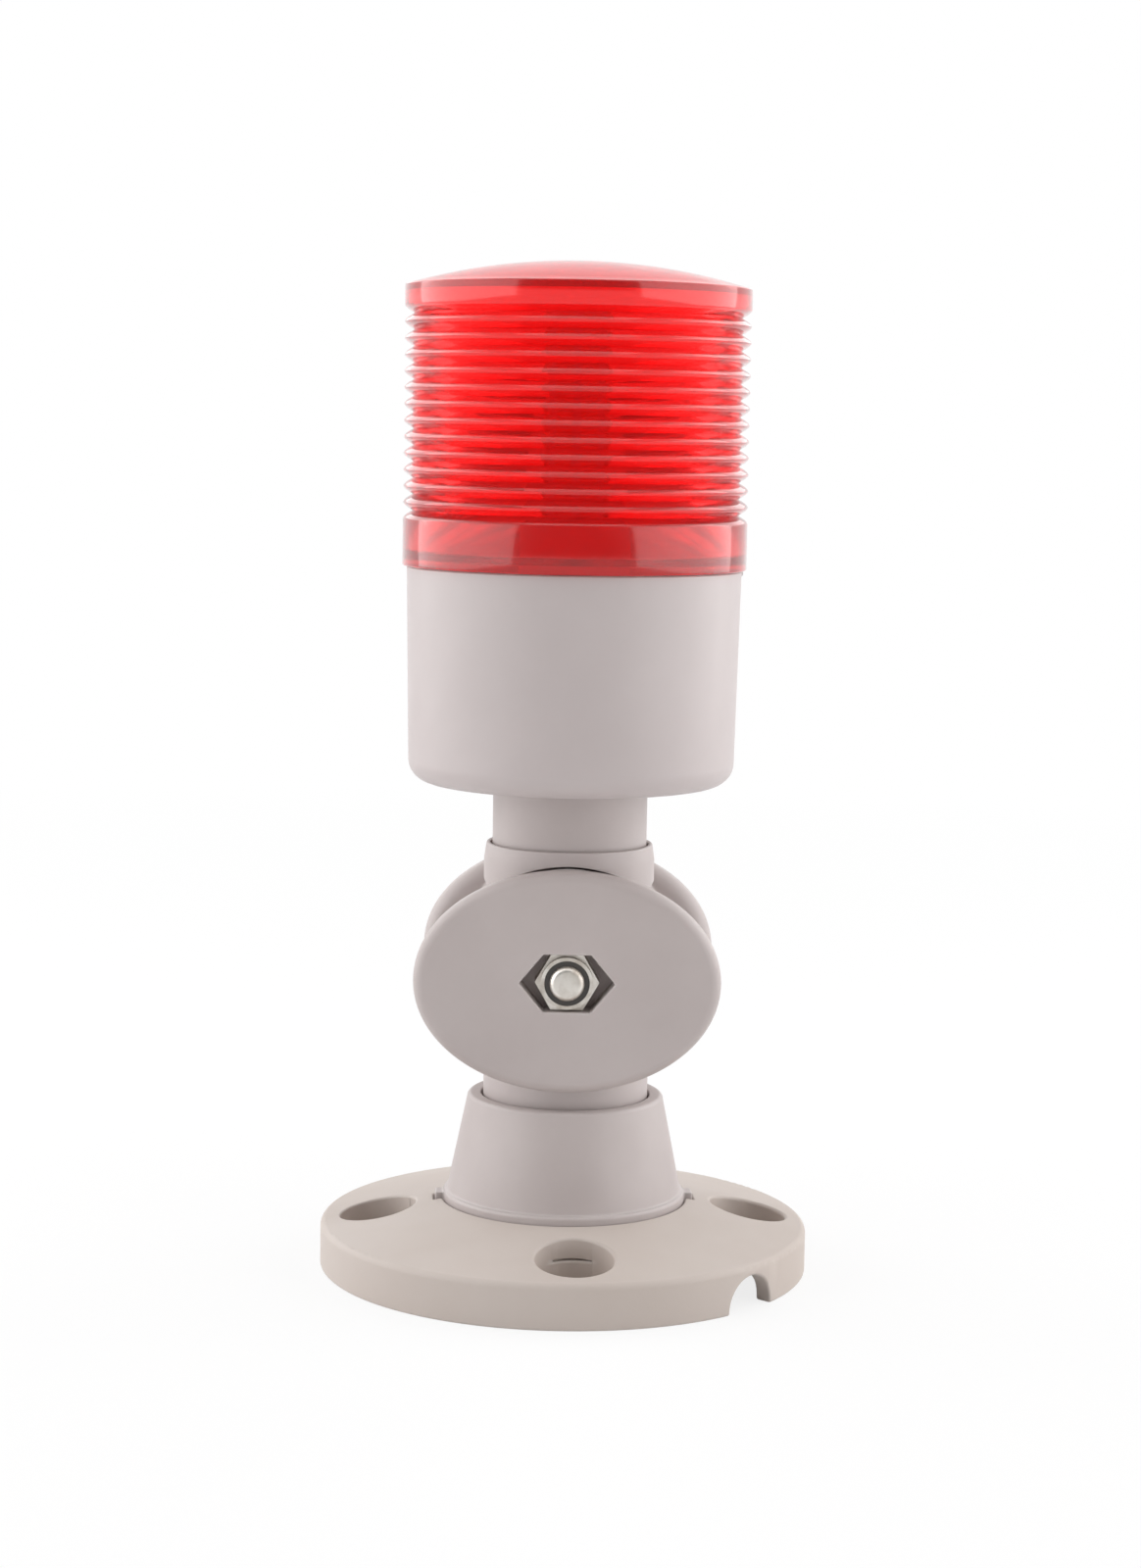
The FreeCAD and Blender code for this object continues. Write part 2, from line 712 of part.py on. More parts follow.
def lower_yoke():
    """Front half of the knuckle: swivel spigot and neck, drum, oval cheek and the nut's hexagonal pocket."""
    body = new_body("lower_yoke")
    parting = d.parting_gap
    turn_profile(body, "spigot_and_neck", [
        (0, spigot_end),
        (d.spigot_radius - d.spigot_chamfer, spigot_end),
        (d.spigot_radius, spigot_end + d.spigot_chamfer),
        (d.spigot_radius, neck_foot),
        (lower_neck_radius, neck_foot),
        (lower_neck_radius, pivot_height),
        (0, pivot_height),
    ])
    fold_relief(body, -1)
    saddle_sketch = new_sketch(body, "saddle_circle", "XZ_Plane", parting)
    saddle = circles(saddle_sketch, [(0, pivot_height, saddle_radius)])
    add(body, "Pocket", "saddle", saddle, Type="ThroughAll")
    drum_and_cheek(body, 1, parting, d.front_cheek_inner, d.front_cheek_outer,
                   d.cheek_half_width, d.cheek_half_height)
    rounded_oval(body, "cheek_edge", d.cheek_round, -d.front_cheek_outer)
    race = circles(new_sketch(body, "wire_race_ring", "XZ_Plane", parting),
                   [(0, pivot_height, d.wire_race_outer), (0, pivot_height, d.wire_race_inner)])
    add(body, "Pocket", "wire_race", race, Length=d.wire_race_depth, Reversed=True)
    bore = circles(new_sketch(body, "cable_bore_ring", "XY_Plane", spigot_end), [(0, 0, d.cable_bore_radius)])
    add(body, "Pocket", "cable_bore", bore,
        Length=pivot_height - d.wire_race_outer + d.race_entry - spigot_end, Reversed=True)
    hole_sketch = new_sketch(body, "bolt_hole_ring", "XZ_Plane")
    hole = circles(hole_sketch, [(0, pivot_height, d.bolt_radius + d.bolt_fit)])
    add(body, "Pocket", "bolt_hole", hole, Type="ThroughAll", Reversed=True)
    wide, high = d.nut_pocket_half_width, d.nut_pocket_half_height
    half = wide / 2
    level = pivot_height
    pocket = outline(new_sketch(body, "nut_pocket_outline", "XZ_Plane", d.front_cheek_outer), [
        (wide, level), (half, level + high), (-half, level + high),
        (-wide, level), (-half, level - high), (half, level - high)])
    add(body, "Pocket", "nut_pocket", pocket, Length=d.nut_pocket_depth)
    sub_parts.append(body)


def upper_yoke():
    """Rear half of the knuckle: collar, drum and oval cheek, with the bolt head's recess at the back."""
    body = new_body("upper_yoke")
    parting = d.parting_gap
    recess = d.neck_radius + d.neck_recess_gap
    turn_profile(body, "collar", [
        (0, pivot_height),
        (d.collar_foot_radius, pivot_height),
        (d.collar_foot_radius, pivot_height + d.cheek_half_height),
        (d.collar_top_radius, collar_top),
        (recess, collar_top),
        (recess, collar_floor),
        (0, collar_floor),
    ])
    fold_relief(body, 1)
    saddle_sketch = new_sketch(body, "saddle_circle", "XZ_Plane", -parting)
    saddle = circles(saddle_sketch, [(0, pivot_height, saddle_radius)])
    add(body, "Pocket", "saddle", saddle, Type="ThroughAll", Reversed=True)
    drum_and_cheek(body, -1, parting, d.rear_cheek_inner, d.rear_cheek_outer,
                   d.rear_cheek_half_width, d.rear_cheek_half_height)
    rounded_oval(body, "cheek_edge", d.rear_cheek_round, d.rear_cheek_outer)
    rounded_oval(body, "cheek_front_edge", d.rear_cheek_front_round, d.rear_cheek_inner)
    race = circles(new_sketch(body, "wire_race_ring", "XZ_Plane", -parting),
                   [(0, pivot_height, d.wire_race_outer), (0, pivot_height, d.wire_race_inner)])
    add(body, "Pocket", "wire_race", race, Length=d.wire_race_depth)
    wires = circles(new_sketch(body, "wire_hole_ring", "XY_Plane", collar_floor),
                    [(0, d.wire_hole_back, d.wire_hole_radius)])
    add(body, "Pocket", "wire_hole", wires,
        Length=d.collar_top_above_pivot - d.collar_recess_depth - d.wire_race_outer + d.race_entry)
    pilots = circles(new_sketch(body, "pilot_rings", "XY_Plane", collar_floor),
                     [(d.collar_screw_spread * side, d.collar_screw_back, d.collar_screw_radius)
                      for side in (-1, 1)])
    add(body, "Pocket", "screw_pilots", pilots, Length=d.collar_screw_length - d.neck_floor + d.pilot_spare)
    hole_sketch = new_sketch(body, "bolt_hole_ring", "XZ_Plane")
    hole = circles(hole_sketch, [(0, pivot_height, d.bolt_radius + d.bolt_fit)])
    add(body, "Pocket", "bolt_hole", hole, Type="ThroughAll")
    recess_ring = circles(new_sketch(body, "head_recess_ring", "XZ_Plane", -d.rear_cheek_outer),
                          [(0, pivot_height, d.head_recess_radius)])
    add(body, "Pocket", "head_recess", recess_ring, Length=d.head_recess_depth, Reversed=True)
    sub_parts.append(body)


def turned_ring(label, inner, outer, foot, height):
    """A plain washer or ring about Z."""
    body = new_body(label)
    turn_profile(body, "ring", [(inner, foot), (outer, foot), (outer, foot + height), (inner, foot + height)])
    sub_parts.append(body)
    return body


def ring_nut(label, half_flats, hole, foot, height):
    """A hexagonal ring nut about Z."""
    body = new_body(label)
    flats = outline(new_sketch(body, "flats", "XY_Plane", foot), hexagon(half_flats))
    add(body, "Pad", "nut_blank", flats, Length=height)
    bore = circles(new_sketch(body, "bore_ring", "XY_Plane", foot + height), [(0, 0, hole)])
    add(body, "Pocket", "thread_bore", bore, Type="ThroughAll")
    sub_parts.append(body)


def pivot_ring(label, inner, outer, front, length):
    """A ring about the pivot axis, from a front depth (along -Y) back over its length."""
    body = new_body(label)
    rings = circles(new_sketch(body, "rings", "XZ_Plane", front),
                    [(0, pivot_height, outer), (0, pivot_height, inner)])
    add(body, "Pad", "ring", rings, Length=length, Reversed=True)
    sub_parts.append(body)


def pivot_hardware():
    """Bolt, washer, lock nut and its locking insert, and the friction ring between the two halves."""
    nut_floor = d.front_cheek_outer - d.nut_pocket_depth
    nut_face = nut_floor + d.nut_height + d.nut_crown_height
    seat = d.rear_cheek_outer - d.head_recess_depth
    head_seat = seat + d.thrust_gap / 2 + d.bolt_washer_thickness
    bolt_front = nut_face + d.bolt_end_proud
    insert_radius = d.nut_crown_radius - d.nut_crown_lip
    pivot_ring("friction_ring", d.friction_ring_inner, d.friction_ring_outer, d.parting_gap,
               d.parting_gap * 2 - d.thrust_gap / 2)
    pivot_ring("bolt_washer", d.bolt_radius + d.bolt_fit, d.bolt_washer_radius, -(seat + d.thrust_gap / 2),
               d.bolt_washer_thickness)

    nut = new_body("lock_nut")
    level = pivot_height
    corners = [(x, size(y) + level) for x, y in hexagon(d.nut_across_flats / 2)]
    flats = outline(new_sketch(nut, "flats", "XZ_Plane", nut_floor), corners)
    add(nut, "Pad", "nut_blank", flats, Length=d.nut_height)
    crown = circles(new_sketch(nut, "crown_ring", "XZ_Plane", nut_floor + d.nut_height),
                    [(0, level, d.nut_crown_radius)])
    add(nut, "Pad", "crown", crown, Length=d.nut_crown_height)
    bore_sketch = new_sketch(nut, "insert_bore_ring", "XZ_Plane", nut_face)
    insert_bore = circles(bore_sketch, [(0, level, insert_radius)])
    add(nut, "Pocket", "insert_seat", insert_bore, Length=d.nut_insert_thickness)
    thread = circles(new_sketch(nut, "thread_ring", "XZ_Plane", nut_face), [(0, level, d.bolt_radius)])
    add(nut, "Pocket", "thread_bore", thread, Type="ThroughAll")
    sub_parts.append(nut)
    pivot_ring("nut_insert", d.bolt_radius, insert_radius, nut_face - d.thrust_gap,
               d.nut_insert_thickness - d.thrust_gap)

    bolt = new_body("pivot_bolt")
    rod = circles(new_sketch(bolt, "rod_ring", "XZ_Plane", bolt_front), [(0, level, d.bolt_radius)])
    add(bolt, "Pad", "rod", rod, Length=bolt_front + head_seat, Reversed=True)
    head = circles(new_sketch(bolt, "head_ring", "XZ_Plane", -head_seat), [(0, level, d.bolt_head_radius)])
    add(bolt, "Pad", "head", head, Length=d.bolt_head_height, Reversed=True)
    back = head_seat + d.bolt_head_height
    key = outline(new_sketch(bolt, "key_socket_outline", "XZ_Plane", -back),
                  [(x, size(y) + level) for x, y in hexagon(d.bolt_socket_radius)])
    add(bolt, "Pocket", "key_socket", key, Length=d.bolt_socket_depth, Reversed=True)

    def end_edge(edge):
        box = edge.BoundBox
        return near(box.YMin, -bolt_front) and near(box.YMax, -bolt_front)
    soften(bolt, "domed_end", d.bolt_end_round, end_edge)
    sub_parts.append(bolt)


def swivel_hardware():
    """Spring washer and ring nut that hold the spigot up in the socket."""
    turned_ring("swivel_washer", d.spigot_radius, swivel_washer_radius, washer_underside,
                d.swivel_washer_thickness)
    ring_nut("swivel_nut", swivel_nut_flats, d.spigot_radius, washer_underside - d.swivel_nut_height,
             d.swivel_nut_height)


# ---------------------------------------------------------------- neck and housing
def neck_tube():
    """Plain neck: it stands in the collar, and its threaded spigot passes through the housing's floor."""
    body = new_body("neck_tube")
    inner = d.neck_radius - d.neck_wall
    bore = d.neck_spigot_radius - d.neck_spigot_wall
    turn_profile(body, "tube", [
        (0, collar_floor),
        (d.neck_radius, collar_floor),
        (d.neck_radius, housing_foot),
        (d.neck_spigot_radius, housing_foot),
        (d.neck_spigot_radius, housing_foot + d.neck_spigot_length),
        (bore, housing_foot + d.neck_spigot_length),
        (bore, housing_foot - d.neck_wall),
        (inner, housing_foot - d.neck_wall - (inner - bore)),
        (inner, collar_floor + d.neck_floor),
        (0, collar_floor + d.neck_floor),
    ])
    holes = [(d.collar_screw_spread * side, d.collar_screw_back, d.collar_screw_radius + d.thrust_gap)
             for side in (-1, 1)]
    holes.append((0, d.wire_hole_back, d.wire_hole_radius + d.screw_clearance))
    ring = circles(new_sketch(body, "floor_holes", "XY_Plane", collar_floor), holes)
    add(body, "Pocket", "floor_bores", ring, Length=d.neck_floor, Reversed=True)
    sub_parts.append(body)


def collar_screws():
    """Two screws through the neck's floor into the collar."""
    sub_parts.append(group("collar_screws", [
        pan_screw(f"collar_screw_{i}", d.collar_screw_spread * side, d.collar_screw_back,
                  collar_floor + d.neck_floor, d.collar_screw_length, d.collar_screw_radius,
                  d.collar_screw_head_radius, d.collar_screw_head_height)
        for i, side in enumerate((-1, 1), start=1)]))


def housing():
    """Cup: rounded foot, neck hole, three pillars, and bayonet slots, gasket seat and mark at the rim."""
    body = new_body("housing")
    curve = d.housing_foot_round
    turn_profile(body, "cup", [
        (d.neck_spigot_radius + d.neck_hole_gap, housing_foot),
        (d.housing_foot_radius - curve, housing_foot),
        (d.housing_foot_radius, housing_foot + curve, curve, 1),
        (d.housing_top_radius, housing_top),
        (seal_seat, housing_top),
        (seal_seat, seal_foot),
        (inner_top, seal_foot),
        (inner_foot, floor_top + d.floor_fillet),
        (inner_foot - d.floor_fillet, floor_top, d.floor_fillet, -1),
        (d.neck_spigot_radius + d.neck_hole_gap, floor_top),
    ])
    x, y = around(pillar_circle, 1, d.bayonet_azimuth)[0]
    post_ring = circles(new_sketch(body, "pillar_ring", "XY_Plane", housing_foot + d.pillar_root),
                        [(x, y, d.pillar_radius)])
    post = add(body, "Pad", "pillar", post_ring, Length=pillar_top - housing_foot - d.pillar_root)
    pilot_sketch = new_sketch(body, "pilot_ring", "XY_Plane", pillar_top)
    pilot_ring = circles(pilot_sketch, [(x, y, d.carrier_screw_radius)])
    pilot = add(body, "Pocket", "pillar_pilot", pilot_ring,
                Length=d.carrier_screw_length - d.carrier_thickness + d.pilot_spare)
    repeat_round(body, "pillars", [post, pilot], d.bayonet_count)

    # L-shaped bayonet slots: the lug turns in the level part and leaves through the upright part
    deep = skirt_radius + d.bayonet_lug_reach + d.bayonet_gap
    lug_foot = lens_foot - d.skirt_depth + d.bayonet_lug_up
    low, high = lug_foot - d.bayonet_gap, lug_foot + d.bayonet_lug_height + d.bayonet_gap
    track_angle = d.bayonet_lug_angle + d.bayonet_turn + d.bayonet_play
    track = turn_profile(body, "bayonet_track",
                         [(skirt_inner, low), (deep, low), (deep, high), (skirt_inner, high)], kind="Groove",
                         angle=track_angle, azimuth=d.bayonet_azimuth + d.bayonet_turn / 2 + QUARTER_TURN)
    entry = turn_profile(body, "bayonet_entry",
                         [(skirt_inner, low), (deep, low), (deep, housing_top), (skirt_inner, housing_top)],
                         kind="Groove", angle=d.bayonet_lug_angle + d.bayonet_play,
                         azimuth=d.bayonet_azimuth + d.bayonet_turn + QUARTER_TURN)
    repeat_round(body, "bayonet_slots", [track, entry], d.bayonet_count)

    # alignment mark on the rim
    mark_face = d.housing_top_radius + d.rim_mark_proud
    mark_foot = housing_top - d.rim_mark_height
    turn_profile(body, "rim_mark",
                 [(seal_seat, mark_foot), (mark_face, mark_foot),
                  (mark_face, housing_top), (seal_seat, housing_top)],
                 angle=d.rim_mark_width, azimuth=d.rim_mark_azimuth + QUARTER_TURN)
    sub_parts.append(body)


def lens():
    """Ribbed lens: skirt with bayonet lugs, smooth band, V-shaped ribs, rim band and shallow dome."""
    body = new_body("lens")
    top = lens_foot + d.lens_height
    rim = lens_radius - d.lens_edge_round
    outer_dome = (rim * rim + d.lens_dome_rise * d.lens_dome_rise) / (2 * d.lens_dome_rise)
    inner_rise = d.lens_dome_rise - d.lens_edge_round
    inner_dome = (lens_inner * lens_inner + inner_rise * inner_rise) / (2 * inner_rise)
    dome_top = top + d.lens_dome_rise
    ceiling = dome_top - d.lens_roof
    turn_profile(body, "shell", [
        (skirt_inner, lens_foot - d.skirt_depth),
        (skirt_radius, lens_foot - d.skirt_depth),
        (skirt_radius, lens_foot),
        (lens_radius, lens_foot),
        (lens_radius, top - d.lens_edge_round),
        (rim, top, d.lens_edge_round, 1),
        (0, dome_top, outer_dome, 1),
        (0, ceiling),
        (lens_inner, ceiling - inner_rise, inner_dome, -1),
        (lens_inner, lens_foot + d.lens_shelf + d.lens_shelf_slope),
        (skirt_inner, lens_foot + d.lens_shelf),
    ])
    level = lens_foot + d.groove_first
    mouth = d.groove_half_opening * (1 + d.groove_overrun / d.groove_depth)
    valley = turn_profile(body, "rib_valley", [
        (lens_radius - d.groove_depth, level),
        (lens_radius + d.groove_overrun, level - mouth),
        (lens_radius + d.groove_overrun, level + mouth)], kind="Groove")
    ribs = body.newObject("PartDesign::LinearPattern", "rib_valleys")
    ribs.Originals = [valley]
    ribs.Direction = (origin_plane(body, "Z_Axis"), [""])
    bind(ribs, "Length", d.groove_pitch * (d.groove_count - 1))
    bind(ribs, "Occurrences", d.groove_count)
    body.Tip = ribs
    doc.recompute()
    lug_foot = lens_foot - d.skirt_depth + d.bayonet_lug_up
    lug_top = lug_foot + d.bayonet_lug_height
    reach = skirt_radius + d.bayonet_lug_reach
    lug_root = skirt_inner + d.bayonet_lug_root
    lug = turn_profile(body, "bayonet_lug",
                       [(lug_root, lug_foot), (reach, lug_foot), (reach, lug_top), (lug_root, lug_top)],
                       angle=d.bayonet_lug_angle, azimuth=d.bayonet_azimuth + QUARTER_TURN)
    repeat_round(body, "bayonet_lugs", [lug], d.bayonet_count)
    sub_parts.append(body)


# ---------------------------------------------------------------- light engine
def lamp_carrier():
    """Disc on the pillars that closes the housing and carries the LED socket."""
    body = new_body("lamp_carrier")
    disc = circles(new_sketch(body, "disc_ring", "XY_Plane", pillar_top), [(0, 0, carrier_radius)])
    add(body, "Pad", "disc", disc, Length=d.carrier_thickness)
    holes = [(x, y, d.carrier_screw_radius + d.screw_clearance)
             for x, y in around(pillar_circle, d.bayonet_count, d.bayonet_azimuth)]
    holes.append((0, 0, d.column_width / 2 - d.column_ledge))
    hole_rings = circles(new_sketch(body, "hole_rings", "XY_Plane", carrier_top), holes)
    add(body, "Pocket", "holes", hole_rings, Type="ThroughAll")
    sub_parts.append(body)


def carrier_screws():
    places = around(pillar_circle, d.bayonet_count, d.bayonet_azimuth)
    sub_parts.append(group("carrier_screws", [
        pan_screw(f"carrier_screw_{i}", x, y, carrier_top, d.carrier_screw_length, d.carrier_screw_radius,
                  d.carrier_screw_head_radius, d.carrier_screw_head_height)
        for i, (x, y) in enumerate(places, start=1)]))


def led_socket():
    """Square socket with a flange; the LED column stands in it."""
    body = new_body("led_socket")
    well_width = d.column_width + d.column_gap
    flange = outline(new_sketch(body, "flange_outline", "XY_Plane", carrier_top),
                     rectangle(0, 0, d.led_socket_flange, d.led_socket_flange))
    add(body, "Pad", "flange", flange, Length=d.led_socket_flange_height)
    block = outline(new_sketch(body, "block_outline", "XY_Plane", carrier_top),
                    rectangle(0, 0, d.led_socket_width, d.led_socket_width))
    add(body, "Pad", "block", block, Length=d.led_socket_height)
    well_sketch = new_sketch(body, "well_outline", "XY_Plane", column_foot)
    well = outline(well_sketch, rectangle(0, 0, well_width, well_width))
    add(body, "Pocket", "well", well, Type="ThroughAll", Reversed=True)
    sub_parts.append(body)


def led_column():
    """Four upright boards round a square, a small board on top, and the lamps on all five."""
    half = d.column_width / 2
    thick = d.board_thickness
    inner = d.column_width - thick * 2
    wide = [primitive("Box", f"wide_board_{i}", (-half, y, column_foot),
                      Length=d.column_width, Width=thick, Height=d.column_height)
            for i, y in enumerate((-half, half - thick), start=1)]
    narrow = [primitive("Box", f"narrow_board_{i}", (x, thick - half, column_foot),
                        Length=thick, Width=inner, Height=d.column_height)
              for i, x in enumerate((-half, half - thick), start=1)]
    sub_parts.append(group("led_boards", wide + narrow))
    top = primitive("Box", "top_board", (-half, -half, column_top),
                    Length=d.column_width, Width=d.column_width, Height=thick)
    top.Label = "top_board"
    sub_parts.append(top)

    lamps = []
    columns, rows = int(d.led_columns.value), int(d.led_rows.value)
    for column in range(columns):
        across = d.led_column_pitch * (column - (columns - 1) / 2)
        for row in range(rows):
            level = column_top - d.led_top_margin - d.led_height - led_row_pitch * row
            for side in (-1, 1):
                out = half if side > 0 else -half - d.led_thickness
                name = f"{column}_{row}_{'back' if side > 0 else 'front'}"
                lamps.append(primitive("Box", f"led_y_{name}", (across - d.led_width / 2, out, level),
                                       Length=d.led_width, Width=d.led_thickness, Height=d.led_height))
                lamps.append(primitive("Box", f"led_x_{name}", (out, across - d.led_width / 2, level),
                                       Length=d.led_thickness, Width=d.led_width, Height=d.led_height))
    sub_parts.append(group("leds", lamps))
    reach = d.led_column_pitch / 2
    corners = [(x, y) for x in (-1, 1) for y in (-1, 1)]
    sub_parts.append(group("top_leds", [
        primitive("Box", f"top_led_{i}",
                  (reach * x - d.led_width / 2, reach * y - d.led_height / 2, column_top + thick),
                  Length=d.led_width, Width=d.led_height, Height=d.led_thickness)
        for i, (x, y) in enumerate(corners, start=1)]))


def driver():
    """Round circuit board on three spacers, with its capacitor, rectifier, resistors and terminal block."""
    board = new_body("driver_board")
    ring = circles(new_sketch(board, "board_ring", "XY_Plane", driver_foot), [(0, 0, driver_radius)])
    add(board, "Pad", "board", ring, Length=d.driver_thickness)
    sub_parts.append(board)
    places = around(spacer_circle, d.bayonet_count, d.spacer_azimuth)
    sub_parts.append(group("board_spacers", [
        primitive("Cylinder", f"board_spacer_{i}", (x, y, floor_top),
                  Radius=d.spacer_radius, Height=d.spacer_height)
        for i, (x, y) in enumerate(places, start=1)]))
    half_way = driver_radius / 2
    can = primitive("Cylinder", "capacitor", (-half_way, 0, driver_top),
                    Radius=d.capacitor_radius, Height=d.capacitor_height)
    can.Label = "capacitor"
    bridge = primitive("Box", "rectifier", (-d.rectifier_length / 2, half_way, driver_top),
                       Length=d.rectifier_length, Width=d.rectifier_width, Height=d.rectifier_height)
    bridge.Label = "rectifier"
    lying = FreeCAD.Rotation(FreeCAD.Vector(0, 1, 0), QUARTER_TURN)
    resistors = [primitive("Cylinder", f"resistor_{i}",
                           (-d.resistor_length / 2, -half_way - d.resistor_pitch * i / 2,
                            driver_top + d.resistor_radius),
                           lying, Radius=d.resistor_radius, Height=d.resistor_length) for i in (0, 1)]
    terminal = primitive("Box", "terminal_block",
                         (half_way - d.terminal_length / 2 + d.terminal_shift,
                          -d.terminal_width / 2, driver_top),
                         Length=d.terminal_length, Width=d.terminal_width, Height=d.terminal_height)
    terminal.Label = "terminal_block"
    sub_parts.extend([can, bridge, group("resistors", resistors), terminal])


base_plate()
base_socket()
socket_screws()
lower_yoke()
upper_yoke()
pivot_hardware()
swivel_hardware()
neck_tube()
collar_screws()
ring_nut("neck_nut", d.neck_nut_half_flats, d.neck_spigot_radius, floor_top, d.neck_nut_height)
housing()
turned_ring("lens_seal", seal_inner, seal_inner + d.seal_width, seal_foot, d.seal_thickness)
lens()
lamp_carrier()
carrier_screws()
led_socket()
led_column()
driver()

# ---------------------------------------------------------------- checks and files
doc.recompute()
for item in doc.Objects:
    if "Invalid" in item.State or "Error" in item.State:
        raise RuntimeError(f"{item.Name} did not build: {item.State}")
os.makedirs("parts", exist_ok=True)
for item in sub_parts:
    if item.Shape.isNull() or not item.Shape.isValid() or not item.Shape.Solids:
        raise RuntimeError(f"{item.Label} has no valid solid")
    item.Shape.exportStep(f"parts/{item.Label}.step")
    box = item.Shape.BoundBox
    print(f"{item.Label:16s} solids {len(item.Shape.Solids):3d}  volume {item.Shape.Volume:10.2f}  "
          f"z {box.ZMin:7.2f} to {box.ZMax:7.2f}  reach {max(box.XMax, -box.XMin, box.YMax, -box.YMin):6.2f}")
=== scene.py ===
"""Single-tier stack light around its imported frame: finishes, turned shells, lights and camera."""

import json
import math

import bmesh
import bpy
from mathutils import Matrix, Vector

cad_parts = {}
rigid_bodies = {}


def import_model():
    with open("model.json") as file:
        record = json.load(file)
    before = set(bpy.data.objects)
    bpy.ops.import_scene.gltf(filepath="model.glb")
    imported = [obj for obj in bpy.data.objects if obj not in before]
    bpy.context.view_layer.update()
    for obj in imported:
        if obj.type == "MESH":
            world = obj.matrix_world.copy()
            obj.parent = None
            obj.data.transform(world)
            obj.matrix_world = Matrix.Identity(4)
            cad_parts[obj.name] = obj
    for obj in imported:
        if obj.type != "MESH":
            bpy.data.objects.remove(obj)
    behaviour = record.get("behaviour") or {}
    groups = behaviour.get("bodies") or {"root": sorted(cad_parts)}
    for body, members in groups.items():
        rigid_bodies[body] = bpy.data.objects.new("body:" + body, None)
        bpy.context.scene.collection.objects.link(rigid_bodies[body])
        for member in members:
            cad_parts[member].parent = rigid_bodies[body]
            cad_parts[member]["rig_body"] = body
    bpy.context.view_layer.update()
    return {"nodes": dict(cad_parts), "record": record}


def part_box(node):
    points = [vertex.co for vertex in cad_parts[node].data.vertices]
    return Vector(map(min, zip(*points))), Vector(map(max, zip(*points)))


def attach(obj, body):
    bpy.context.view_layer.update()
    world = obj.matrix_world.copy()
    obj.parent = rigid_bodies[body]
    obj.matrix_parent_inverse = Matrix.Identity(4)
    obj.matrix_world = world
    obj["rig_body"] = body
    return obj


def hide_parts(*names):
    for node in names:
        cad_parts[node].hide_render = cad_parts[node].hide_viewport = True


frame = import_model()

MM = 0.001
NODES = frame["nodes"]


# ---------------------------------------------------------------- shader building blocks
def link(tree, source, target):
    """Join an output socket to an input socket."""
    tree.links.new(source, target)


def new_group(name, inputs, outputs):
    """A shader node group with named sockets: (name, kind, default) going in, (name, kind) coming out."""
    group = bpy.data.node_groups.new(name, "ShaderNodeTree")
    for socket, kind, default in inputs:
        made = group.interface.new_socket(socket, in_out="INPUT", socket_type=f"NodeSocket{kind}")
        made.default_value = default
    for socket, kind in outputs:
        group.interface.new_socket(socket, in_out="OUTPUT", socket_type=f"NodeSocket{kind}")
    return group, group.nodes.new("NodeGroupInput").outputs, group.nodes.new("NodeGroupOutput").inputs


def node(tree, kind, settings=None, **inputs):
    """A shader node with its settings and plain input values."""
    made = tree.nodes.new(f"ShaderNode{kind}")
    for name, value in (settings or {}).items():
        setattr(made, name, value)
    for name, value in inputs.items():
        made.inputs[name.replace("_", " ")].default_value = value
    return made


def combined(tree, operation, *sources):
    """Several numbers put through one two-number Math operation in turn: their product, or the largest."""
    result = sources[0]
    for source in sources[1:]:
        made = node(tree, "Math", {"operation": operation})
        link(tree, result, made.inputs[0])
        link(tree, source, made.inputs[1])
        result = made.outputs[0]
    return result


def ranged(tree, source, low, high, start=0.0, end=1.0):
    """A number mapped from low..high onto start..end, and clamped there."""
    made = node(tree, "MapRange", {"clamp": True}, From_Min=low, From_Max=high, To_Min=start, To_Max=end)
    link(tree, source, made.inputs["Value"])
    return made.outputs["Result"]


def raised(tree, share, spread, base):
    """A base number that grows by the spread where the share is 1."""
    made = node(tree, "Math", {"operation": "MULTIPLY_ADD"})
    for source, target in zip((share, spread, base), made.inputs):
        link(tree, source, target)
    return made.outputs[0]


def blended(tree, share, first, second):
    """A colour that goes from the first to the second as the share grows."""
    mix = node(tree, "Mix", {"data_type": "RGBA"})
    link(tree, share, mix.inputs["Factor"])
    link(tree, first, mix.inputs["A"])
    link(tree, second, mix.inputs["B"])
    return mix.outputs["Result"]


def object_texture(tree, texture, scale):
    """A texture that stays with the object, with its scale taken from a socket."""
    place = node(tree, "TexCoord")
    link(tree, place.outputs["Object"], texture.inputs["Vector"])
    link(tree, scale, texture.inputs["Scale"])
    return texture.outputs["Fac"]


def noise(tree, scale, **values):
    """Object noise with the given detail."""
    return object_texture(tree, node(tree, "TexNoise", **values), scale)


def moulded_skin():
    """Injection-moulded surface: soft mottling of the colour, fine spark grain and an uneven gloss."""
    group, given, out = new_group("moulded_skin", [
        ("Color", "Color", (0.5, 0.5, 0.5, 1)), ("Shade", "Color", (0.4, 0.4, 0.4, 1)),
        ("Mottle", "Float", 0.5), ("Mottle Scale", "Float", 60.0), ("Grain Scale", "Float", 2600.0),
        ("Roughness", "Float", 0.45), ("Roughness Spread", "Float", 0.08)],
        [("Color", "Color"), ("Roughness", "Float"), ("Height", "Float")])
    cloud = ranged(group, noise(group, given["Mottle Scale"], Detail=4.0, Roughness=0.55), 0.35, 0.68)
    mottle = combined(group, "MULTIPLY", cloud, given["Mottle"])
    link(group, blended(group, mottle, given["Color"], given["Shade"]), out["Color"])
    link(group, raised(group, cloud, given["Roughness Spread"], given["Roughness"]), out["Roughness"])
    link(group, noise(group, given["Grain Scale"], Detail=2.0, Roughness=0.6), out["Height"])
    return group


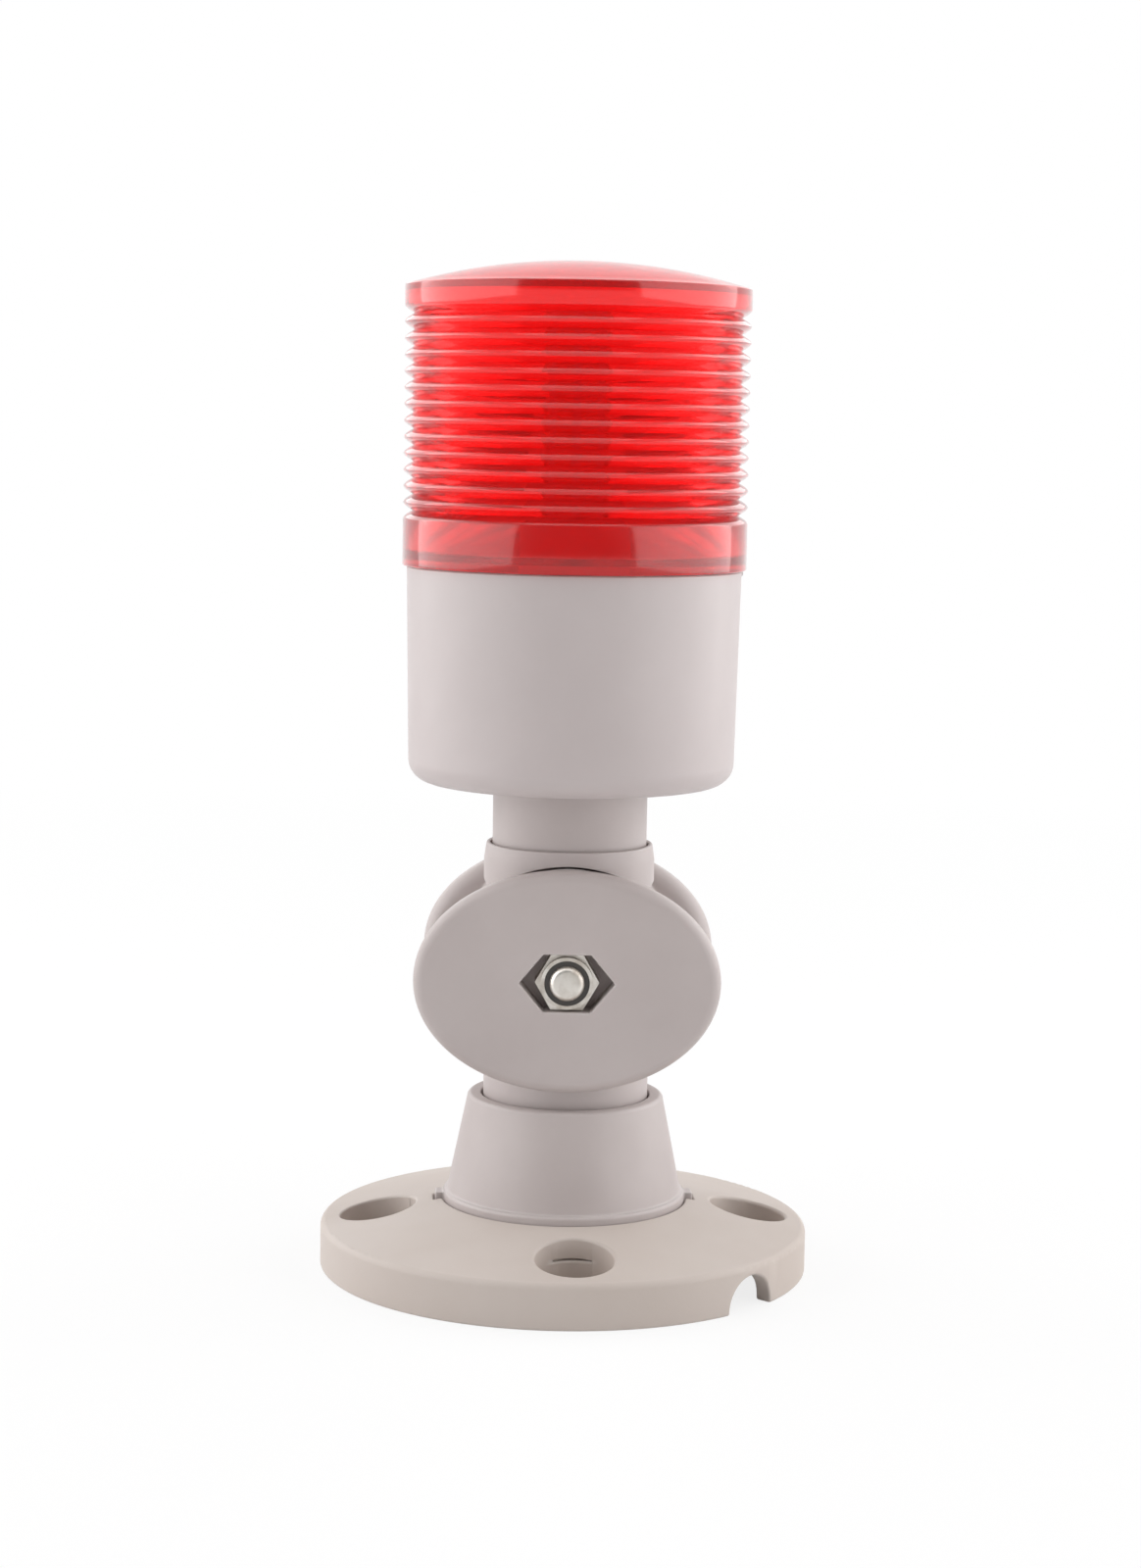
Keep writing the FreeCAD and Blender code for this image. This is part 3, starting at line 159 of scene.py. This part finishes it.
def turned_lines():
    """Fine ring marks and dull patches for plated steel."""
    group, given, out = new_group("turned_lines", [
        ("Color", "Color", (0.7, 0.7, 0.7, 1)), ("Dull Color", "Color", (0.5, 0.5, 0.5, 1)),
        ("Line Scale", "Float", 900.0), ("Patch Scale", "Float", 320.0),
        ("Roughness", "Float", 0.3), ("Roughness Spread", "Float", 0.22)],
        [("Color", "Color"), ("Roughness", "Float"), ("Height", "Float")])
    rings = node(group, "TexWave", {"wave_type": "RINGS", "rings_direction": "SPHERICAL"},
                 Distortion=1.5, Detail=2.0)
    dull = ranged(group, noise(group, given["Patch Scale"], Detail=3.0), 0.4, 0.62)
    link(group, blended(group, dull, given["Color"], given["Dull Color"]), out["Color"])
    link(group, raised(group, dull, given["Roughness Spread"], given["Roughness"]), out["Roughness"])
    link(group, object_texture(group, rings, given["Line Scale"]), out["Height"])
    return group


def upward_dust_and_top_light():
    """A thin pale dusty film on what faces up, broken by noise; it is partly painted top light, making upward
    faces paler as if lit from above. It puts out the tinted colour and where it is.
    """
    group, given, out = new_group("upward_dust_and_top_light", [
        ("Color", "Color", (0.5, 0.5, 0.5, 1)), ("Dust And Top Light Color", "Color", (0.7, 0.68, 0.64, 1)),
        ("Amount", "Float", 0.3), ("Patch Scale", "Float", 120.0)],
        [("Color", "Color"), ("Mask", "Float")])
    surface = node(group, "NewGeometry")
    facing = node(group, "SeparateXYZ")
    link(group, surface.outputs["Normal"], facing.inputs["Vector"])
    up = ranged(group, facing.outputs["Z"], 0.3, 1.0)
    broken = noise(group, given["Patch Scale"], Detail=5.0)
    film = combined(group, "MULTIPLY", up, broken, given["Amount"])
    link(group, blended(group, film, given["Color"], given["Dust And Top Light Color"]), out["Color"])
    link(group, film, out["Mask"])
    return group


def worn_and_highlighted_edges():
    """Corners made paler, broken up by noise: partly wear from handling, partly a painted highlight along the
    edges.
    """
    group, given, out = new_group("worn_and_highlighted_edges", [
        ("Color", "Color", (0.5, 0.5, 0.5, 1)), ("Rubbed And Highlight Color", "Color", (0.75, 0.74, 0.72, 1)),
        ("Amount", "Float", 0.5), ("Width", "Float", 0.0005), ("Patch Scale", "Float", 500.0)],
        [("Color", "Color")])
    turned = node(group, "Bevel", {"samples": 6})
    link(group, given["Width"], turned.inputs["Radius"])
    surface = node(group, "NewGeometry")
    match = node(group, "VectorMath", {"operation": "DOT_PRODUCT"})
    link(group, turned.outputs["Normal"], match.inputs[0])
    link(group, surface.outputs["Normal"], match.inputs[1])
    corner = ranged(group, match.outputs["Value"], 0.995, 0.86)
    broken = ranged(group, noise(group, given["Patch Scale"], Detail=3.0), 0.25, 0.6, 0.45, 1.0)
    worn_and_highlit = combined(group, "MULTIPLY", corner, broken, given["Amount"])
    link(group, blended(group, worn_and_highlit, given["Color"], given["Rubbed And Highlight Color"]), out["Color"])
    return group


MOULDED_SKIN = moulded_skin()
# paler corners: handling wear plus a painted edge highlight
WORN_AND_HIGHLIGHTED_EDGES = worn_and_highlighted_edges()
TURNED_LINES = turned_lines()
# pale film on upward faces: a dusty film plus painted top light that makes them paler
UPWARD_DUST_AND_TOP_LIGHT = upward_dust_and_top_light()

# depths in metres of the fine relief that the bump shows
GRAIN_DEPTH = 0.1 * MM
RIPPLE_DEPTH = 0.3 * MM
TOOL_MARK_DEPTH = 0.05 * MM


def cleared(owner):
    """The emptied node tree of a material or a world."""
    owner.use_nodes = True
    owner.node_tree.nodes.clear()
    return owner.node_tree


def new_material(name, **constants):
    """A material with a Principled BSDF whose constant values are set on its own sockets."""
    material = bpy.data.materials.new(name)
    tree = cleared(material)
    shader = node(tree, "BsdfPrincipled", **constants)
    output = node(tree, "OutputMaterial")
    link(tree, shader.outputs["BSDF"], output.inputs["Surface"])
    return material, tree, shader


def placed(tree, group, values):
    """A node group placed in a material with its own values."""
    made = tree.nodes.new("ShaderNodeGroup")
    made.node_tree = group
    for name, value in values.items():
        made.inputs[name].default_value = value
    return made


def add_surface(tree, shader, tone, surface, strength, depth):
    """Feed a colour, and a surface group's roughness and relief, to the shader."""
    link(tree, tone, shader.inputs["Base Color"])
    link(tree, surface.outputs["Roughness"], shader.inputs["Roughness"])
    bump = node(tree, "Bump", Strength=strength, Distance=depth)
    link(tree, surface.outputs["Height"], bump.inputs["Height"])
    link(tree, bump.outputs["Normal"], shader.inputs["Normal"])


def plastic(name, color, shade, roughness, mottle=0.5, mottle_scale=60.0, grain=0.05, dust_and_top_light=0.0, rubbed_and_highlight=0.0):
    """Moulded plastic: mottled colour, spark grain, corners made paler by wear and a painted edge highlight,
    and a pale dusty film where it faces up that is also painted top light.
    """
    material, tree, shader = new_material(name)
    skin = placed(tree, MOULDED_SKIN, {"Color": (*color, 1), "Shade": (*shade, 1), "Mottle": mottle,
                                       "Mottle Scale": mottle_scale, "Roughness": roughness})
    tone = skin.outputs["Color"]
    # the edge layer paints an edge highlight as well as wear; the upward layer paints top light as well as a
    # dusty film
    for group, amount in ((WORN_AND_HIGHLIGHTED_EDGES, rubbed_and_highlight), (UPWARD_DUST_AND_TOP_LIGHT, dust_and_top_light)):
        if amount:
            film = placed(tree, group, {"Amount": amount})
            link(tree, tone, film.inputs["Color"])
            tone = film.outputs["Color"]
    add_surface(tree, shader, tone, skin, grain, GRAIN_DEPTH)
    return material


def metal(name, color, dull, roughness, marks=0.08):
    """Plated steel with ring marks and dull patches."""
    material, tree, shader = new_material(name, Metallic=1.0)
    plating = placed(tree, TURNED_LINES, {"Color": (*color, 1), "Dull Color": (*dull, 1),
                                          "Roughness": roughness})
    add_surface(tree, shader, plating.outputs["Color"], plating, marks, TOOL_MARK_DEPTH)
    return material


def srgb(red, green, blue):
    """A colour written as it looks on screen, 0 to 255, as linear values."""
    values = []
    for channel in (red, green, blue):
        c = channel / 255
        values.append(c / 12.92 if c <= 0.04045 else ((c + 0.055) / 1.055) ** 2.4)
    return tuple(values)


def red_lens(ripple=0.06):
    """Clear red plastic: tinted transmission with a faint moulding ripple, polished except on what faces up,
    where the dusty film lies.
    """
    material, tree, shader = new_material("lens_red", Transmission_Weight=0.84, IOR=1.40, Coat_IOR=1.25,
                                          Coat_Roughness=0.20)
    skin = placed(tree, MOULDED_SKIN, {"Color": (1.0, 0.050, 0.050, 1), "Shade": (1.0, 0.036, 0.038, 1),
                                       "Mottle Scale": 45.0, "Grain Scale": 90.0, "Roughness": 0.05,
                                       "Roughness Spread": 0.05})
    add_surface(tree, shader, skin.outputs["Color"], skin, ripple, RIPPLE_DEPTH)
    film = placed(tree, UPWARD_DUST_AND_TOP_LIGHT, {"Amount": 1.0})
    link(tree, ranged(tree, film.outputs["Mask"], 0.05, 0.40, 1.0, 0.0), shader.inputs["Coat Weight"])
    return material


# the upward-film amounts below also paint the tops paler, as light from above would
MATERIALS = {
    # the paler-edge amounts below also paint a highlight along the corners, besides wear
    "plate_beige": plastic("plate_beige", srgb(193, 182, 175), srgb(183, 170, 161), 0.52, mottle=0.5,
                           mottle_scale=38.0, grain=0.10, dust_and_top_light=0.12, rubbed_and_highlight=0.5),
    "knuckle_grey": plastic("knuckle_grey", srgb(186, 176, 174), srgb(172, 161, 159), 0.42, mottle=0.5,
                            mottle_scale=55.0, grain=0.06, dust_and_top_light=0.15, rubbed_and_highlight=0.5),
    "housing_grey": plastic("housing_grey", srgb(190, 180, 179), srgb(178, 168, 167), 0.38, mottle=0.45,
                            mottle_scale=42.0, grain=0.05, dust_and_top_light=0.1, rubbed_and_highlight=0.5),
    "lens_red": red_lens(),
    "steel": metal("steel", srgb(224, 219, 212), srgb(190, 182, 172), 0.36),
    "nut_nylon": plastic("nut_nylon", srgb(62, 58, 55), srgb(40, 38, 36), 0.4),
    "friction_fibre": plastic("friction_fibre", srgb(70, 64, 60), srgb(52, 47, 44), 0.8, grain=0.3,
                              mottle_scale=300.0),
    "gasket_rubber": plastic("gasket_rubber", srgb(44, 42, 42), srgb(30, 29, 29), 0.6, grain=0.1),
    "carrier_white": plastic("carrier_white", srgb(200, 198, 194), srgb(188, 186, 182), 0.45),
    "board_white": plastic("board_white", srgb(218, 215, 208), srgb(200, 197, 190), 0.35, mottle_scale=200.0),
    "board_green": plastic("board_green", srgb(38, 96, 56), srgb(28, 72, 42), 0.35, mottle_scale=260.0),
    "led_amber": plastic("led_amber", srgb(228, 178, 84), srgb(196, 140, 58), 0.25, mottle_scale=400.0),
    "part_black": plastic("part_black", srgb(38, 38, 40), srgb(26, 26, 28), 0.5),
    "terminal_green": plastic("terminal_green", srgb(52, 128, 74), srgb(40, 100, 58), 0.45),
}


# ---------------------------------------------------------------- mesh building blocks
SMOOTH_ANGLE = 32
CORNER_ANGLE = 40
FLAT_ANGLE = 0.6
WELD = 0.002 * MM
TINY = 1e-6
CORNER_STEPS = 3
CORNER_SHARE = 0.48
TURN_STEPS = 256
BEVEL_STEPS = 3


def finish_mesh(name, shape):
    """Turn a bmesh into an object, smooth apart from its real corners."""
    bmesh.ops.recalc_face_normals(shape, faces=shape.faces[:])
    for face in shape.faces:
        face.smooth = True
    for edge in shape.edges:
        edge.smooth = edge.is_manifold and edge.calc_face_angle(0.0) < math.radians(SMOOTH_ANGLE)
    mesh = bpy.data.meshes.new(name)
    shape.to_mesh(mesh)
    shape.free()
    made = bpy.data.objects.new(name, mesh)
    bpy.context.scene.collection.objects.link(made)
    return made


def rounded(points):
    """A closed profile of (radius, height, corner radius) in millimetres, with its corners rounded."""
    result = []
    count = len(points)
    for i, (x, y, corner) in enumerate(points):
        here = Vector((x, y))
        before = Vector(points[i - 1][:2]) - here
        after = Vector(points[(i + 1) % count][:2]) - here
        if corner <= 0 or before.length < TINY or after.length < TINY:
            result.append((x, y))
            continue
        half = before.angle(after) / 2
        reach = min(corner / math.tan(half), before.length * CORNER_SHARE, after.length * CORNER_SHARE)
        start, end = here + before.normalized() * reach, here + after.normalized() * reach
        for step in range(CORNER_STEPS + 1):
            t = step / CORNER_STEPS
            bend = start.lerp(here, t).lerp(here.lerp(end, t), t)
            result.append((bend.x, bend.y))
    return result


def polar(radius, turn, height):
    """A point in metres, from a radius and a height in millimetres and an angle in radians."""
    return (radius * MM * math.cos(turn), radius * MM * math.sin(turn), height * MM)


def lathe(name, profile):
    """Revolve a closed profile of (radius, height) in millimetres about the lamp's axis."""
    shape = bmesh.new()
    turns = [2 * math.pi * step / TURN_STEPS for step in range(TURN_STEPS)]
    rings = []
    for radius, height in profile:
        if radius < TINY:
            rings.append([shape.verts.new((0, 0, height * MM))])
        else:
            rings.append([shape.verts.new(polar(radius, turn, height)) for turn in turns])
    for lower, upper in zip(rings, rings[1:] + rings[:1]):
        if len(lower) == 1 and len(upper) == 1:
            continue
        for step in range(TURN_STEPS):
            following = (step + 1) % TURN_STEPS
            if len(lower) == 1:
                shape.faces.new((lower[0], upper[following], upper[step]))
            elif len(upper) == 1:
                shape.faces.new((lower[step], lower[following], upper[0]))
            else:
                shape.faces.new((lower[step], lower[following], upper[following], upper[step]))
    return finish_mesh(name, shape)


def dress(piece, slot_name, body, *replaced):
    """Give a piece its finish, its body and the frame nodes that it stands for."""
    piece.data.materials.clear()
    piece.data.materials.append(MATERIALS[slot_name])
    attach(piece, body)
    if replaced:
        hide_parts(*replaced)


def refined(node_name, edge_round):
    """The frame node's own shape, welded and smoothly shaded, with its corners broken by a small round."""
    shape = bmesh.new()
    shape.from_mesh(NODES[node_name].data)
    bmesh.ops.remove_doubles(shape, verts=shape.verts[:], dist=WELD)
    if edge_round:
        bmesh.ops.dissolve_limit(shape, angle_limit=math.radians(FLAT_ANGLE), verts=shape.verts[:],
                                 edges=shape.edges[:], use_dissolve_boundaries=False)
        bmesh.ops.triangulate(shape, faces=[face for face in shape.faces if len(face.verts) > 4])
        corners = [edge for edge in shape.edges
                   if edge.is_manifold and edge.calc_face_angle(0.0) > math.radians(CORNER_ANGLE)]
        bmesh.ops.bevel(shape, geom=corners, offset=edge_round * MM, offset_type="OFFSET", profile=0.5,
                        segments=BEVEL_STEPS, affect="EDGES", clamp_overlap=False)
    shell = finish_mesh(f"{node_name}_shell", shape)
    if edge_round:
        flat_faces = shell.modifiers.new("flat_faces", "WEIGHTED_NORMAL")
        flat_faces.keep_sharp = True
    return shell


# ---------------------------------------------------------------- lens
# lengths in millimetres: the outline comes from the frame, the rest is measured in from it
LENS_LOW, LENS_HIGH = (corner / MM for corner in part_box("lens"))
HOUSING_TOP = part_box("housing")[1].z / MM
FOOT_GAP = 0.08
LENS_FOOT = HOUSING_TOP + FOOT_GAP
LENS_RADIUS = LENS_HIGH.x
LENS_INNER = LENS_RADIUS - 2.5
SKIRT_OUTER = LENS_RADIUS - 3.3
SKIRT_INNER = SKIRT_OUTER - 1.4
SKIRT_ROUND = 0.2
STEP_ROUND = 0.15
FOOT_ROUND = 0.3
SHOULDER_LOW, SHOULDER_HIGH, SHOULDER_ROUND = 1.2, 2.2, 0.4
DOME_RISE = 3.6
DOME_STEPS = 14
LENS_TOP = LENS_HIGH.z - DOME_RISE
RIM_INSET, RIM_DROP, RIM_ROUND = 0.4, 0.05, 0.5
ROOF = 1.4
VALLEYS, VALLEY_PITCH, VALLEY_DEPTH, VALLEY_FIRST = 13, 2.35, 1.4, 7.9
RIB_FULLNESS = 1.55
FLANK_STEPS = 6


def dome(radius, foot, rise):
    """Points of a shallow dome, from its rim to its crown."""
    bow = (radius ** 2 + rise ** 2) / (2 * rise)
    sweep = math.asin(radius / bow)
    tilts = [sweep * (1 - step / DOME_STEPS) for step in range(DOME_STEPS + 1)]
    return [(bow * math.sin(tilt), foot + rise - bow * (1 - math.cos(tilt))) for tilt in tilts]


def rib_flank(level, half, outward):
    """One flank of a rib, going up: out from the valley to the crown, or in from the crown to the valley."""
    flank = []
    for step in range(1, FLANK_STEPS + 1):
        along = step / FLANK_STEPS
        reach = along if outward else 1 - along
        flank.append((LENS_RADIUS - VALLEY_DEPTH * (1 - reach) ** RIB_FULLNESS, level + half * along, 0))
    return flank


def lens_profile():
    """Skirt, smooth band, round-crowned ribs with sharp valleys, rim band and dome."""
    outside = [(SKIRT_INNER, LENS_LOW.z, SKIRT_ROUND), (SKIRT_OUTER, LENS_LOW.z, SKIRT_ROUND),
               (SKIRT_OUTER, LENS_FOOT, STEP_ROUND), (LENS_RADIUS, LENS_FOOT, FOOT_ROUND)]
    half = VALLEY_PITCH / 2
    first = LENS_FOOT + VALLEY_FIRST
    outside.append((LENS_RADIUS, first - half, 0))
    for valley in range(VALLEYS):
        level = first + VALLEY_PITCH * valley
        outside += rib_flank(level - half, half, False) + rib_flank(level, half, True)
    outside.append((LENS_RADIUS, LENS_TOP - RIM_DROP, RIM_ROUND))
    crown = dome(LENS_RADIUS - RIM_INSET, LENS_TOP, DOME_RISE)
    ceiling = dome(LENS_INNER, LENS_TOP - ROOF + RIM_INSET, DOME_RISE - RIM_INSET)[::-1]
    inside = [(LENS_INNER, LENS_FOOT + SHOULDER_HIGH, SHOULDER_ROUND),
              (SKIRT_INNER, LENS_FOOT + SHOULDER_LOW, SHOULDER_ROUND)]
    return rounded(outside + [(*point, 0) for point in crown + ceiling] + inside)


def bayonet_lugs(count=3, azimuth=30.0, span=10.0, reach=0.8, root=0.2, foot=0.4, height=1.6, steps=6):
    """Lugs round the skirt, each an arc of rectangular section with its root sunk into the wall."""
    shape = bmesh.new()
    low = LENS_LOW.z + foot
    high = low + height
    corners = [(SKIRT_OUTER - root, low), (SKIRT_OUTER + reach, low),
               (SKIRT_OUTER + reach, high), (SKIRT_OUTER - root, high)]
    for lug in range(count):
        middle = math.radians(azimuth + 360 / count * lug)
        turns = [middle + math.radians(span) * (step / steps - 0.5) for step in range(steps + 1)]
        sections = [[shape.verts.new(polar(radius, turn, level)) for radius, level in corners]
                    for turn in turns]
        for near_end, far_end in zip(sections, sections[1:]):
            for i in range(len(corners)):
                following = (i + 1) % len(corners)
                shape.faces.new((near_end[i], near_end[following], far_end[following], far_end[i]))
        shape.faces.new(sections[0])
        shape.faces.new(sections[-1][::-1])
    return finish_mesh("bayonet_lugs", shape)


dress(lathe("lens_shell", lens_profile()), "lens_red", "lens", "lens")
dress(bayonet_lugs(), "lens_red", "lens")

# ---------------------------------------------------------------- shells that follow the frame's own shapes
SLOTS = {part["node"]: part["material_slot"] for part in frame["record"]["subparts"]}
EDGE_ROUNDS = {"base_plate": 0.4, "base_socket": 0.25, "lower_yoke": 0.2, "upper_yoke": 0.2,
               "neck_tube": 0.15, "housing": 0.25}
for name in sorted(NODES):
    if name != "lens":
        dress(refined(name, EDGE_ROUNDS.get(name, 0.0)), SLOTS[name], NODES[name]["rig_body"], name)


# ---------------------------------------------------------------- floor, light and camera
def shown_rays(tree):
    """Two numbers: 1 for the camera's rays and those through the lens, and the same with gloss."""
    rays = node(tree, "LightPath").outputs
    seen = combined(tree, "MAXIMUM", rays["Is Camera Ray"], rays["Is Transmission Ray"])
    return seen, combined(tree, "MAXIMUM", seen, rays["Is Glossy Ray"])


def mixed(tree, share, first, second, output_kind):
    """Two shaders mixed by a share, going to the output of a material or a world."""
    mix = node(tree, "MixShader")
    link(tree, share, mix.inputs["Fac"])
    link(tree, first.outputs[0], mix.inputs[1])
    link(tree, second.outputs[0], mix.inputs[2])
    output = node(tree, output_kind)
    link(tree, mix.outputs["Shader"], output.inputs["Surface"])


def floor(half=4.0, tone=0.9, near=0.08, far=0.6, near_share=0.82):
    """A wide pale floor. It looks white to the camera, less so near the object, where its shadow shows."""
    mesh = bpy.data.meshes.new("floor")
    corners = [(-half, -half, 0), (half, -half, 0), (half, half, 0), (-half, half, 0)]
    mesh.from_pydata(corners, [], [(0, 1, 2, 3)])
    plane = bpy.data.objects.new("floor", mesh)
    bpy.context.scene.collection.objects.link(plane)
    material = bpy.data.materials.new("pale_floor")
    tree = cleared(material)
    place = node(tree, "NewGeometry")
    reach = node(tree, "VectorMath", {"operation": "LENGTH"})
    link(tree, place.outputs["Position"], reach.inputs[0])
    whiteness = ranged(tree, reach.outputs["Value"], near, far, near_share, 1.0)
    _, shown = shown_rays(tree)
    matte = node(tree, "BsdfDiffuse", Color=(tone, tone, tone, 1))
    white = node(tree, "Emission", Color=(1, 1, 1, 1), Strength=1.0)
    mixed(tree, combined(tree, "MULTIPLY", shown, whiteness), matte, white, "OutputMaterial")
    mesh.materials.append(material)


def studio_world(fill, front, front_depth=-0.92, side_depth=-0.3):
    """White backdrop to the camera, to gloss and through the lens, with a softer fill for the rest.

    Gloss sees it dimmer in front, down to the front strength, like the dark room behind a camera.
    """
    world = bpy.data.worlds.new("studio")
    bpy.context.scene.world = world
    tree = cleared(world)
    seen, shown = shown_rays(tree)
    facing = node(tree, "TexCoord")
    split = node(tree, "SeparateXYZ")
    link(tree, facing.outputs["Generated"], split.inputs["Vector"])
    depth = ranged(tree, split.outputs["Y"], front_depth, side_depth, front, 1.0)
    soft = node(tree, "Background", Color=(1, 1, 1, 1), Strength=fill)
    white = node(tree, "Background", Color=(1, 1, 1, 1))
    link(tree, combined(tree, "MAXIMUM", seen, depth), white.inputs["Strength"])
    mixed(tree, shown, soft, white, "OutputWorld")


def softbox(name, place, aim, width, height, power):
    """A rectangular lamp that points at a spot."""
    lamp = bpy.data.lights.new(name, "AREA")
    lamp.shape = "RECTANGLE"
    lamp.size, lamp.size_y = width, height
    lamp.energy = power
    made = bpy.data.objects.new(name, lamp)
    made.location = place
    made.rotation_euler = (Vector(aim) - Vector(place)).to_track_quat("-Z", "Y").to_euler()
    bpy.context.scene.collection.objects.link(made)


def camera(distance, height, pitch, roll, lens_mm):
    """The camera stands in front, a little above the knuckle, and looks slightly down."""
    data = bpy.data.cameras.new("camera")
    data.lens = lens_mm
    data.sensor_width = 36.0
    made = bpy.data.objects.new("camera", data)
    made.location = (0, -distance, height)
    level = Matrix.Rotation(math.radians(90 - pitch), 4, "X")
    made.rotation_euler = (level @ Matrix.Rotation(math.radians(roll), 4, "Z")).to_euler()
    bpy.context.scene.collection.objects.link(made)
    bpy.context.scene.camera = made


floor()
studio_world(fill=0.145, front=0.12)
for side, name in ((-1, "left"), (1, "right")):
    softbox(f"{name}_softbox", (0.50 * side, -0.10, 0.17), (0.05 * side, -0.08, 0.12), 0.95, 0.8, 4.7)
    softbox(f"{name}_rim_softbox", (0.42 * side, 0.50, 0.58), (0, 0, 0.10), 0.8, 0.8, 2.4)
softbox("top_softbox", (0, -0.30, 0.75), (0, 0, 0.05), 0.7, 0.5, 1.15)
camera(distance=0.450, height=0.125, pitch=6.75, roll=1.0, lens_mm=71.0)
bpy.context.scene.view_settings.view_transform = "Standard"
